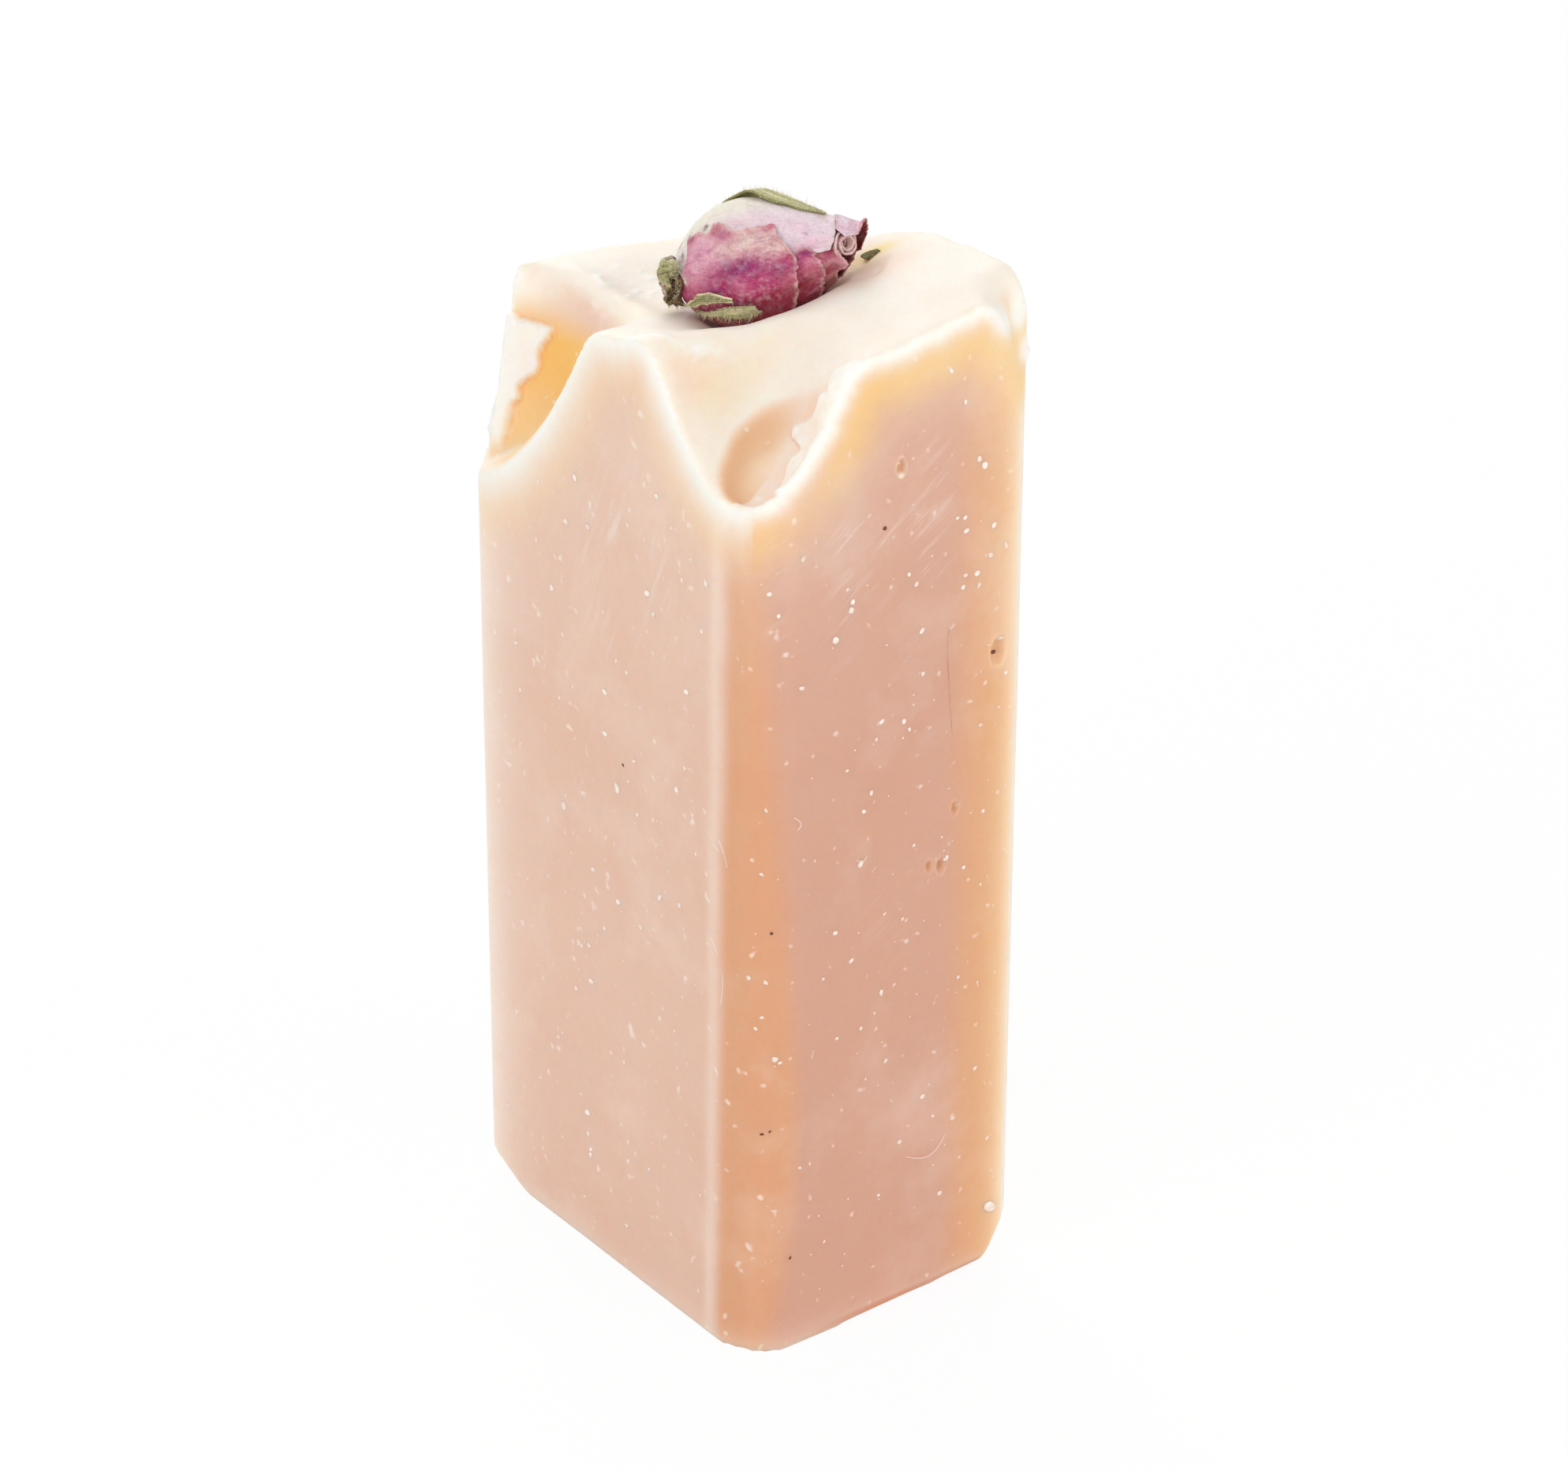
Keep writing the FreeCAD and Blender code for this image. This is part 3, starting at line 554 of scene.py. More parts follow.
def soap_surface(piece, look):
    """Pushes the remeshed block's points out and in where the knife left marks."""
    points = from_corner(read_points(piece))
    normals = read_normals(piece)
    x, y, z = points.T
    inward = wall_distance(x, y)
    upward = smooth((normals[:, 2] - 0.1) / 0.35) * (z > 68.0)
    push = look.waviness / MM * rough_noise(points, 12.0, 1, 2) * (0.5 + upward)
    push += 0.045 * rough_noise(points, 2.4, 5) * upward

    # The bevelled near edge is softer than three flat cuts
    across = np.abs(x - y)
    near_edge = (x < 3.0) * (y < 3.0) * (1 - upward)
    push -= 0.16 * smooth(1.0 - across / 1.6) * smooth((1.5 - inward) / 1.0) * near_edge

    # Round cut inside the near scoop, deepest just past its far edge
    offset = np.hypot(x - BOWL_MIDDLE[0], y - BOWL_MIDDLE[1])
    inside = BOWL_RADIUS + 0.35 * noise(points * (1, 1, 0), 2.6, 17) - offset
    bowl = smooth(inside / 2.2) * (1.0 - 0.6 * smooth((inside - 1.6) / 3.6)) * upward * smooth(inward / 1.3)
    sink = look.bowl_depth / MM * bowl * (z < BOWL_TOP)

    # Burrs on the inner side of the scoop's right rim
    reach = np.interp(x, (2.6, 3.6, 5.2, 6.2, 7.2, 7.6, 8.0, 8.4, 9.0, 10.0, 10.8, 11.6),
                      (0.0, 1.5, 1.7, 2.5, 2.7, 4.2, 4.2, 3.2, 2.8, 2.9, 2.1, 0.0))
    reach = reach + 0.6 * noise(points * (1, 0, 1), 0.8, 3) * (reach > 0)
    burr = smooth((reach - y) / 0.3) * smooth((normals[:, 2] - 0.1) / 0.2)
    burr *= (x < 11.8) * (z > 78.0) * (reach > 0.2) * (0.75 + 0.25 * noise(points, 0.6, 9))
    push += look.burr_height / MM * burr * smooth(inward / 0.5)

    # Torn flake left standing at the left corner
    jag = 0.75 * noise(points * (0, 0, 1), 1.9, 12) + 0.3 * noise(points * (0, 0, 1), 0.8, 13)
    edge = np.interp(z, (72.6, 74.5, 77.3, 78.5, 80.5, 82.0, 83.1),
                     (39.2, 39.2, 38.8, 38.5, 37.8, 37.4, 36.9))
    flake = smooth((y - edge - jag) / 0.35) * smooth((83.6 + 0.4 * noise(points, 1.0, 5) - z) / 0.4)
    flake *= (z > 70.0) * (x < 9.0) * smooth((z - 71.5) / 2.0) * smooth((0.92 - normals[:, 2]) / 0.1)
    flake *= smooth((inward - 0.15) / 0.4) * (y > 34.0)
    push += look.flake_height / MM * flake * (0.85 + 0.3 * noise(points, 1.6, 4))

    # Granular ridge, ash on the plateau and the flake in the right notch
    lumps = rough_noise(points, 0.8, 21)
    ridge_y = np.interp(x, (0, 1.6, 2.3, 3.5, 4.8, 6.1, 7.2), (16.5, 16.7, 15.2, 14.0, 13.6, 13.4, 13.0))
    ridge = bell(y, ridge_y, 0.75) * smooth((7.4 - x) / 1.5) * upward
    plateau = bell(x, 12.2, 4.0) * bell(y, 33.0, 4.2) * upward
    push += 0.14 * ridge * smooth(0.5 + lumps) + 0.22 * plateau * smooth(lumps * 2.0 - 0.2)
    notch = np.exp(-((x - 29.2) ** 2 + (y - 1.5) ** 2 + (z - 88.3) ** 2) / 0.9 ** 2)
    push += 0.4 * notch * smooth(0.6 + lumps)

    pit_shade = np.zeros(len(points))
    for where, height, radius, depth in PITS:
        distance = np.hypot(x - where, (z - height) * 0.62) / radius
        near = (y < 2.0) & (distance < 2.0)
        push[near] -= depth * smooth(1.25 - distance[near])
        push[near] += 0.12 * bell(distance[near], 1.15, 0.22)
        pit_shade[near] = np.maximum(pit_shade[near], smooth(1.1 - distance[near]))

    # The far left corner of the top is rounded off
    corner = smooth((z - 85.5) / 5.0) * smooth((4.5 - x) / 4.5) * smooth((y - 36.5) / 4.5)
    points += normals * push[:, None]
    points += corner[:, None] * (1.0, -1.0, -0.9)
    points[:, 2] -= sink
    write_points(piece, to_frame(points))
    ash = upward * (0.9 * ridge * smooth(0.7 + lumps) + plateau * smooth(lumps * 2.0))
    return burr, flake, np.clip(ash + notch, 0, 1), pit_shade, inside


def rim_distance(points, normals, inward):
    """Distance of every point on the upright faces to the nearest point of the carved rim."""
    rim = (inward < 0.8) & (normals[:, 2] > 0.28) & (normals[:, 2] < 0.86) & (points[:, 2] > TOP_FROM)
    rim &= ~near_pit(points)
    rows = np.flatnonzero(rim)
    tree = KDTree(len(rows))
    for index, row in enumerate(rows):
        tree.insert(points[row], index)
    tree.balance()
    distance = np.full(len(points), FAR_FROM_RIM)
    for row in np.flatnonzero(points[:, 2] > GLOW_FROM):
        distance[row] = tree.find(points[row])[2]
    return distance


def facings(points, normals):
    """How much each point faces left, front and up, from 0 to 1."""
    left = smooth((-normals[:, 0] - 0.35) / 0.4)
    front = smooth((-normals[:, 1] - 0.45) / 0.4)
    up = smooth((normals[:, 2] - 0.28) / 0.4) * (points[:, 2] > TOP_FROM)
    return left, front, up


def near_strip(points):
    """The strip of painted peach shade along the near edge, crisp on the left and fading out on the right.
    """
    x, y, z = points.T
    left_edge = np.interp(z, (2.0, 80.0), (4.9, 3.7)) + 0.12 * noise(points * (0, 0, 1), 5.0, 8)
    right_edge = np.interp(z, (2.3, 14.8, 25.9, 44.9, 63.6, 79.8), (3.4, 5.2, 5.6, 4.3, 3.2, 2.4))
    strip = smooth((left_edge + 0.3 - y) / 1.2) * smooth((right_edge + 0.9 - x) / 2.8)
    return strip * (x < 8.0), left_edge


def side_layers(look, points, normals, depth):
    """Colours and shares for the upright faces, painted light and shade among them, in the order that they
    are laid on.
    """
    x, y, z = points.T
    facing_left, facing_front, facing_up = facings(points, normals)
    under = 1.0 - facing_up
    warm = 0.5 + 0.5 * rough_noise(points, 15.0, 71)
    strip, left_edge = near_strip(points)
    strip = strip * under
    from_right = np.maximum(28.5 - x, 0.0)
    from_back = np.maximum(39.9 - y, 0.0)
    edge_glow = smooth((-normals[:, 1] + 0.4) / 0.4) * under
    undercut = smooth((1.3 - z) / 0.5) * smooth((x - 5.0) / 9.0) * smooth((28.0 - x) / 3.0) * (y < 3.0)
    yellow = (0.42 + 0.48 * facing_front) * (1.0 - 0.55 * bell(x, 5.5, 3.5))
    return [
        (look.rosy, 0.16 * warm + 0.10 * smooth((40.0 - z) / 40.0)),
        # Painted shade: the front face, and the faces turned to the back, are painted rosy, darker than the
        # lit left face
        (look.rosy, facing_front),
        (look.body, 0.16 * warm * facing_front * smooth((60.0 - np.abs(z - 70.0)) / 40.0)),
        (look.rosy, smooth((normals[:, 1] - 0.3) / 0.4) * 0.35),
        # Painted shade on the planed near edge
        (look.peach, strip * smooth((depth - 0.5) / 7.0) * 0.92),
        # Painted highlight along the crease between the left face and the planed edge
        (look.cream, 0.35 * bell(y, left_edge + 0.9, 0.7) * facing_left * (1.0 - strip)),
        # The front face turns peach to the right; painted glow turns its right edge amber and pale, and the
        # left face pale at its far edge
        (look.peach, facing_front * smooth((x - 20.0) / 4.5) * 0.95),
        (look.amber, np.exp(-(from_right / 2.3) ** 1.3) * edge_glow * 0.85),
        (look.cream, np.exp(-(from_right / 1.1) ** 1.2) * 0.85 * smooth((0.86 - normals[:, 0]) / 0.2)),
        (look.cream, np.exp(-(from_back / 3.4) ** 1.2) * 0.9 * facing_left),
        # The lower edge is pale, and painted shade darkens it where the front face is cut under
        (look.cream, np.exp(-(z / 1.6) ** 1.5) * 0.35),
        (levels(look.peach) * (0.86, 0.66, 0.58, 1.0), undercut * 0.8),
        # Painted glow under the carved rims, wider and paler on the left face; the white line on the rims is
        # soda ash and painted highlight
        (look.cream, 0.35 * np.exp(-depth / 8.0) * under),
        (look.amber, yellow * bell(depth, 2.3, 2.9) * under),
        (look.cream, bell(depth, 0.0, 2.7 - 1.35 * facing_front) * under),
        (look.ash, bell(depth, 0.0, 0.9) * 0.8)]


def top_layers(look, points, normals, inward, marks):
    """Colours and shares for the carved top, painted light and shade among them, in the order that they are
    laid on.
    """
    x, y, z = points.T
    burr, flake, ash, pits, bowl = marks
    facing_up = facings(points, normals)[2]
    crumb_x, crumb_y = from_corner(np.array(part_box("leaf_crumb")).mean(axis=0) / MM)[:2]
    # Yellow painted glow around the leaf crumb
    crumb_glow = levels(look.amber) * (1.0, 1.08, 0.35, 1.0)
    # Painted shade in the hollows, and the painted glow around the leaf crumb: middle, half sizes, colour
    # and strength
    hollows = ((4.4, 12.0, 2.6, 2.2, look.amber, 0.42), (8.2, 10.6, 3.0, 1.6, look.amber, 0.25),
               (22.0, 19.0, 5.0, 4.0, look.amber, 0.3), (9.5, 27.5, 3.5, 3.5, look.amber, 0.15),
               (21.5, 12.8, 3.6, 2.4, look.peach, 0.45),
               (crumb_x + 0.5, crumb_y + 0.4, 2.2, 1.5, crumb_glow, 0.95))
    turn = np.degrees(np.arctan2(y - BOWL_MIDDLE[1], x - BOWL_MIDDLE[0]))
    in_bowl = smooth((bowl + 0.3) / 1.3) * (z < BOWL_TOP) * (z > 70.0) * smooth(inward / 0.6)
    far_side = in_bowl * smooth((turn - 15.0) / 50.0) * smooth((215.0 - turn) / 30.0)
    wall = (x < 9.5) * (y > 23.0) * (z > 68.5) * (1 - flake)
    wall *= smooth((0.90 - normals[:, 2]) / 0.22) * smooth((inward - 0.3) / 0.8)
    high = 0.55 + 0.45 * smooth((z - 72.0) / 9.0)
    # The top is painted pale where it faces up, for the light from above
    layers = [(look.cream, facing_up)]
    for middle_x, middle_y, wide, long, shade, amount in hollows:
        layers.append((shade, amount * bell(x, middle_x, wide) * bell(y, middle_y, long) * facing_up))
    return layers + [
        # Painted shade in the round cut of the near scoop, warmest on its far side
        (look.peach, in_bowl * 0.22),
        (look.amber, far_side * bell(bowl, 0.9, 3.0) * 0.6),
        (look.peach, far_side * bell(bowl, 0.7, 2.2) * 0.6),
        # Painted shade and glow on the wall of the left scoop, amber low down
        (look.deep_amber, wall * smooth((86.0 - z) / 3.6) * high),
        (look.amber, wall * smooth((79.0 - z) / 6.0) * 0.75),
        (look.ash, np.clip(burr * 0.8 + flake * 0.9 + ash * 0.9, 0.0, 0.95)),
        # Painted shade in the pits
        (levels(look.deep_amber) * (0.8, 0.75, 0.8, 1.0), pits * 0.6)]


def paint_smears(piece, points, normals):
    """Where the knife smeared the front and left faces, for the strokes of the material."""
    x, y, z = points.T
    facing_left, facing_front, facing_up = facings(points, normals)
    under = 1.0 - facing_up
    bands = smooth(0.45 + 0.8 * noise(points, 3.2, 44))
    patches = smooth(0.2 + 0.9 * noise(points, 8.0, 45))
    front = bell(x, 14.0, 5.5) * bell(z, 76.0, 8.0) + 0.35 * patches * smooth((z - 20.0) / 30.0)
    left = (bell(y, 19.0, 9.0) * bell(z, 70.0, 10.0) + 0.25 * patches) * bands
    off_strip = 1.0 - near_strip(points)[0] * under
    paint(piece, "smear_front", np.clip(front * bands * 1.3, 0, 1) * facing_front * under)
    paint(piece, "smear_left", np.clip(left, 0, 1) * facing_left * under * off_strip)


def paint_soap(piece, look, marks):
    """Tones by place, much of it painted light and shade: a creamy top painted pale where it faces up,
    painted amber glow under the rims, painted shade in the hollows, and rosy and peach sides that are partly
    painted shade.
    """
    points = from_corner(read_points(piece))
    normals = read_normals(piece)
    inward = wall_distance(points[:, 0], points[:, 1])
    depth = rim_distance(points, normals, inward)
    tone = np.tile(look.body, (len(points), 1))
    layers = side_layers(look, points, normals, depth) + top_layers(look, points, normals, inward, marks)
    for shade, share in layers:
        tone = blend(tone, shade, share)
    paint_colour(piece, "tone", tone)
    paint_smears(piece, points, normals)


def divide_faces(piece, cuts, test):
    """Subdivides the faces whose middle, in millimetres, passes the test."""
    activate(piece)
    centres = np.empty(len(piece.data.polygons) * 3)
    piece.data.polygons.foreach_get("center", centres)
    chosen = test(from_corner(centres.reshape(-1, 3) / MM))
    piece.data.vertices.foreach_set("select", np.zeros(len(piece.data.vertices), dtype=bool))
    piece.data.edges.foreach_set("select", np.zeros(len(piece.data.edges), dtype=bool))
    piece.data.polygons.foreach_set("select", chosen)
    bpy.ops.object.mode_set(mode="EDIT")
    bpy.ops.mesh.select_mode(type="FACE")
    bpy.ops.mesh.subdivide(number_cuts=cuts)
    bpy.ops.object.mode_set(mode="OBJECT")


def near_pit(centre):
    """Whether each point of the front face is in or beside a pit."""
    chosen = np.zeros(len(centre), dtype=bool)
    for where, height, radius, _ in PITS:
        distance = np.hypot(centre[:, 0] - where, centre[:, 2] - height)
        chosen |= (distance < radius * 2.4) & (centre[:, 1] < 1.5)
    return chosen


class SOAP_OT_block(bpy.types.Operator):
    """Model the carved block with its knife marks, burrs and pits"""
    bl_idname = "soap.block"
    bl_label = "Carved block"

    def execute(self, context):
        look = context.scene.soap_look
        piece = new_object("carved_soap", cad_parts["soap_bar"].data.copy())
        edit_whole(piece, ("remove_doubles", {"threshold": 0.02 * MM}))
        apply_modifier(piece, "REMESH", mode="VOXEL", voxel_size=look.voxel)
        apply_modifier(piece, "SMOOTH", factor=0.5, iterations=2)
        divide_faces(piece, 1, lambda centre: centre[:, 2] > FINE_FROM)
        divide_faces(piece, 3, near_pit)
        apply_modifier(piece, "SMOOTH", factor=0.5, iterations=2)
        paint_soap(piece, look, soap_surface(piece, look))
        finish_piece(piece, soap_material(look), ["soap_bar"])
        return {"FINISHED"}


def lay_spots(name, spots, flatness, ragged, seed):
    """One mesh of small lumps that are half sunk where rays meet the block."""
    dice = np.random.default_rng(seed)
    block = bpy.data.objects["carved_soap"]
    bpy.context.view_layer.update()
    lump = add_primitive("lump", "ico_sphere", subdivisions=2, radius=0.5 * MM)
    shape = read_points(lump)
    places = {"front": ((0, 1), (0, 1, 0)), "left": ((1, 0), (1, 0, 0)), "near": ((0, 1), (0.2, 1, 0))}
    for face, across, height, width in spots:
        (flat, level), heading = places[face]
        start = np.zeros(3)
        start[flat], start[level], start[2] = across, -RAY_START, height
        if face == "near":
            start[0] -= 0.6
        hit, place, normal, _ = block.ray_cast(Vector(to_frame(start) * MM), Vector(heading).normalized())
        if not hit:
            continue
        copy = new_object(name, lump.data.copy())
        bulges = 1.0 + ragged * rough_noise(shape + 9.0 * dice.random(3), 0.5, 7)
        write_points(copy, shape * bulges[:, None])
        copy.rotation_mode = "QUATERNION"
        turn = Matrix.Rotation(6.28 * dice.random(), 4, "Z").to_quaternion()
        copy.rotation_quaternion = normal.to_track_quat("Z", "Y") @ turn
        stretch = 0.75 + 0.5 * dice.random()
        copy.scale = (width * stretch, width / stretch, width * flatness)
        copy.location = place
        copy.select_set(True)
    lump.select_set(False)
    joined = [item for item in bpy.context.selected_objects if item != lump]
    bpy.context.view_layer.objects.active = joined[0]
    bpy.ops.object.join()
    piece = bpy.context.object
    piece.name = name
    bpy.ops.object.transform_apply(location=True, rotation=True, scale=True)
    bpy.data.objects.remove(lump)
    return piece


class SOAP_OT_flecks(bpy.types.Operator):
    """Scatter soda ash flecks and dark specks that are half sunk in the soap"""
    bl_idname = "soap.flecks"
    bl_label = "Ash flecks and specks"

    def execute(self, context):
        look = context.scene.soap_look
        dice = np.random.default_rng(SEED)
        spots = on_spots(FLECKS)
        for _ in range(look.fleck_count):
            width = look.fleck_size / MM * (0.3 + 0.75 * dice.random() ** 3.0)
            height = 3.0 + 76.0 * dice.random()
            if dice.random() < 0.5:
                spots.append(("left", 5.5 + 33.0 * dice.random(), height, width))
            elif dice.random() < 0.12:
                spots.append(("near", 0.8 + 3.0 * dice.random(), height, width * 0.8))
            else:
                spots.append(("front", 5.0 + 23.5 * dice.random() ** 0.8, height, width))
        piece = lay_spots("ash_flecks", spots, 0.14, 0.6, SEED)
        pale = plain_material("soda_ash", look.cream, colour(240, 212, 194), 1500.0, 0.5)
        finish_piece(piece, pale)
        piece = lay_spots("dark_specks", on_spots(SPECKS), 0.3, 0.4, SEED + 1)
        dark = plain_material("dark_speck", colour(120, 58, 34), colour(86, 60, 36), 2500.0, 0.6)
        finish_piece(piece, dark)
        return {"FINISHED"}


# Lint on the near edge: points of each hair, from the bar's left, front and bottom
HAIRS = (
    ((-0.1, 4.9, 49.9), (0.35, 4.0, 48.6), (0.75, 3.0, 46.7)),
    ((0.05, 4.35, 50.4), (0.3, 3.9, 49.4), (0.4, 3.6, 48.0)),
    ((-0.1, 5.3, 40.7), (0.15, 4.4, 39.2), (0.3, 3.9, 37.0), (0.15, 4.2, 34.6)),
    ((4.6, -0.05, 53.0), (5.1, -0.25, 52.6), (5.3, -0.2, 52.0), (4.9, -0.1, 51.7)),
    ((11.2, -0.05, 46.8), (11.7, -0.3, 46.2), (12.3, -0.1, 46.9)),
    ((17.0, -0.05, 15.2), (18.6, -0.2, 14.3), (20.4, -0.2, 14.6), (21.3, -0.05, 15.8)),
)


# A hairline crack in the front face: place across it and height
CRACK = ((20.7, 65.6), (20.55, 63.4), (20.8, 61.0), (21.0, 58.4), (21.3, 55.6))


def thin_threads(name, routes, radius):
    """One mesh of thin round threads through the points of each route, in millimetres."""
    threads = []
    for route in routes:
        curve = bpy.data.curves.new("thread", "CURVE")
        curve.dimensions = "3D"
        spline = curve.splines.new("NURBS")
        spline.points.add(len(route) - 1)
        for point, place in zip(spline.points, route):
            point.co = (*(to_frame(np.array(place)) * MM), 1.0)
        spline.order_u = 3
        spline.use_endpoint_u = True
        curve.bevel_depth = radius * MM
        curve.bevel_resolution = 1
        curve.use_fill_caps = True
        threads.append(new_object("thread", curve))
    activate(threads[0])
    for thread in threads:
        thread.select_set(True)
    bpy.ops.object.convert(target="MESH")
    if len(threads) > 1:
        bpy.ops.object.join()
    piece = bpy.context.object
    piece.name = name
    return piece


class SOAP_OT_lint(bpy.types.Operator):
    """Lay the few hairs of lint on the near edge and the hairline crack in the front face"""
    bl_idname = "soap.lint"
    bl_label = "Lint hairs and crack"

    def execute(self, context):
        look = context.scene.soap_look
        piece = thin_threads("lint_hairs", HAIRS, 0.025)
        finish_piece(piece, plain_material("lint", look.ash, look.cream, 900.0, 0.6))
        block = bpy.data.objects["carved_soap"]
        context.view_layer.update()
        route = []
        for across, height in CRACK:
            start = to_frame(np.array((across, -RAY_START, height))) * MM
            hit, place, *_ = block.ray_cast(Vector(start), Vector((0.0, 1.0, 0.0)))
            if not hit:
                raise RuntimeError("the crack misses the block")
            route.append(tuple(from_corner(np.array(place) / MM)))
        piece = thin_threads("hairline_crack", [route], 0.035)
        finish_piece(piece, plain_material("crack", look.peach, colour(196, 130, 92), 700.0, 0.6))
        return {"FINISHED"}


# The rosebud: z runs from its foot to its tip, angles go from straight up to the near side
BUD_LENGTH = 16.8
BUD_BELLY = 5.7
BUD_BELLY_AT = 6.8
BUD_FOOT = 1.6
BUD_MOUTH = 1.1
BUD_CLOSING = 14.2
BUD_SUNK = 1.65
PETAL_PITCH = 0.28
LEAF_THICKNESS = 0.16
BUD_MIDDLE = np.array([16.9, 19.8, 94.9 - BUD_SUNK])
BUD_HEADING = math.radians(-51.8)
BUD_LIFT = math.radians(18.0)
BUD_AXIS = np.array([math.cos(BUD_HEADING) * math.cos(BUD_LIFT),
                     math.sin(BUD_HEADING) * math.cos(BUD_LIFT), math.sin(BUD_LIFT)])
BUD_UP = unit(np.array([0.0, 0.0, 1.0]) - BUD_AXIS * BUD_AXIS[2])
BUD_NEAR = np.cross(BUD_AXIS, BUD_UP)
BUD_ORIGIN = BUD_MIDDLE - BUD_AXIS * BUD_LENGTH / 2.0


def bud_radius(z):
    """Radius of the bud's outermost layer at a height."""
    below = BUD_BELLY - (BUD_BELLY - BUD_FOOT) * np.clip((BUD_BELLY_AT - z) / BUD_BELLY_AT, 0, 1) ** 2.4
    above = np.clip((z - BUD_BELLY_AT) / (BUD_LENGTH - BUD_BELLY_AT), 0, 1.2)
    return np.where(z < BUD_BELLY_AT, below, BUD_BELLY - (BUD_BELLY - BUD_MOUTH) * above ** 1.5)


def layer_radius(z, layer):
    """Radius of a petal layer; the inner ones stay open past the height where the bud closes."""
    radius = bud_radius(z)
    least = bud_radius(np.array(BUD_CLOSING))
    if layer > 0.5:
        radius = 0.5 * (radius + least + np.sqrt((radius - least) ** 2 + 0.05))
    return radius - layer * PETAL_PITCH


def on_bud(angle, z, radius):
    """Points of the frame, in millimetres, from angles in degrees, heights and radii."""
    turn = np.radians(angle)
    local = (radius * np.cos(turn))[:, None] * BUD_UP + (radius * np.sin(turn))[:, None] * BUD_NEAR
    return to_frame(BUD_ORIGIN + local + z[:, None] * BUD_AXIS)


def around_bud(piece):
    """Angle, height and radius of each point, and the outward share of its normal."""
    points = from_corner(read_points(piece)) - BUD_ORIGIN
    up, near = points @ BUD_UP, points @ BUD_NEAR
    radius = np.hypot(up, near)
    outward = (up[:, None] * BUD_UP + near[:, None] * BUD_NEAR) / np.maximum(radius, 0.01)[:, None]
    facing = (read_normals(piece) * outward).sum(axis=1)
    return np.degrees(np.arctan2(near, up)), points @ BUD_AXIS, radius, facing


def sheet_grid(name, steps_across, steps_along):
    """A flat grid with a UV map; returns it with each vertex's share across and along."""
    piece = add_primitive(name, "grid", x_subdivisions=steps_across, y_subdivisions=steps_along, size=1.0)
    across, along, _ = (read_points(piece) * MM + 0.5).T
    return piece, across, along


def petal_sheet(name, spot, radius_at, wrinkle, size, seed, edge_lift, ragged):
    """A wrinkled petal over the bud; spot gives angle and height for shares across and along."""
    piece, across, along = sheet_grid(name, *size)
    angle, z = spot(across, along)
    key = seed * 3.0
    side = np.minimum(across, 1.0 - across)
    rim_path = columns(across * 9.0, 0.0, key)
    side_path = columns(z * 0.9, across.round() * 5.0, key)
    jag = ragged * (noise(rim_path, 0.45, seed + 50) + 0.7 * noise(rim_path, 0.16, seed + 51))
    z = z + jag * smooth((along - 0.85) / 0.15)
    tooth = ragged * (noise(side_path, 0.7, seed + 52) + 0.7 * noise(side_path, 0.25, seed + 53))
    radius = radius_at(angle, z)
    tooth = np.degrees(tooth / np.maximum(radius, 1.0)) * np.sign(across - 0.5)
    angle = angle + tooth * smooth((0.06 - side) / 0.06)
    arc = columns(angle * 0.09, z, key)
    ribs = noise(arc * (1.0, 0.22, 1.0), 0.9, seed)
    folds = rough_noise(arc * (0.55, 0.5, 1.0), 1.5, seed + 3)
    crumple = rough_noise(arc, 0.7, seed + 6)
    radius = radius + wrinkle * (0.35 * ribs + folds + 0.35 * crumple)
    lifted = edge_lift * (smooth((0.05 - side) / 0.05) * smooth((along - 0.2) / 0.3)
                          + smooth((along - 0.95) / 0.05))
    write_points(piece, on_bud(angle, z, radius + lifted))
    frayed = 0.6 + 0.6 * noise(arc, 0.5, seed + 31)
    rim = np.maximum(smooth((along - 0.955) / 0.045), smooth((0.028 - side) / 0.028))
    paint(piece, "rim", rim * frayed)
    return piece


def thicken(piece, thickness):
    """Turns the sheet's faces outward and gives it a wall inwards."""
    edit_whole(piece, OUTWARD)
    if around_bud(piece)[3].mean() < 0:
        edit_whole(piece, ("flip_normals", {}))
    apply_modifier(piece, "SOLIDIFY", thickness=thickness, offset=-1.0, use_even_offset=False)


def spotted(angle, z, middle_angle, middle_z, wide, tall):
    """A soft blob on the bud, from 0 to 1."""
    gap = np.mod(angle - middle_angle + 180.0, 360.0) - 180.0
    return np.exp(-(gap / wide) ** 2 - ((z - middle_z) / tall) ** 2)


def shade_petal(piece, base, blobs, veined, bleached, inner=None, seed=0):
    """Paints tones as soft blobs: angle, height, half sizes, colour and strength."""
    angle, z, radius, outward = around_bud(piece)
    arc = columns(angle * 0.09, z, radius)
    shaken_angle = angle + 5.0 * rough_noise(arc, 1.1, seed + 80) + 2.5 * noise(arc, 0.28, seed + 90)
    shaken_z = z + 0.45 * rough_noise(arc, 1.1, seed + 84) + 0.22 * noise(arc, 0.28, seed + 94)
    tone = np.tile(base, (len(z), 1))
    mottle = rough_noise(arc * (1.0, 0.6, 1.0), 0.8, seed + 100)
    for *place, shade, strength in blobs:
        tone = blend(tone, shade, strength * spotted(shaken_angle, shaken_z, *place))
    tone = blend(tone, tone * (0.70, 0.36, 0.64, 1.0), veined * smooth(mottle * 1.6 - 0.1))
    tone = blend(tone, tone * 0.5 + (0.5, 0.36, 0.38, 0.5), 0.5 * veined * smooth(-mottle * 1.6 - 0.1))
    # Faces turned inward take the inner colour: partly the petals' deeper colour inside, partly painted
    # shade
    if inner is not None:
        tone = blend(tone, inner, smooth((0.15 - outward) / 0.3))
    finish_tone(piece, tone, veined, bleached)


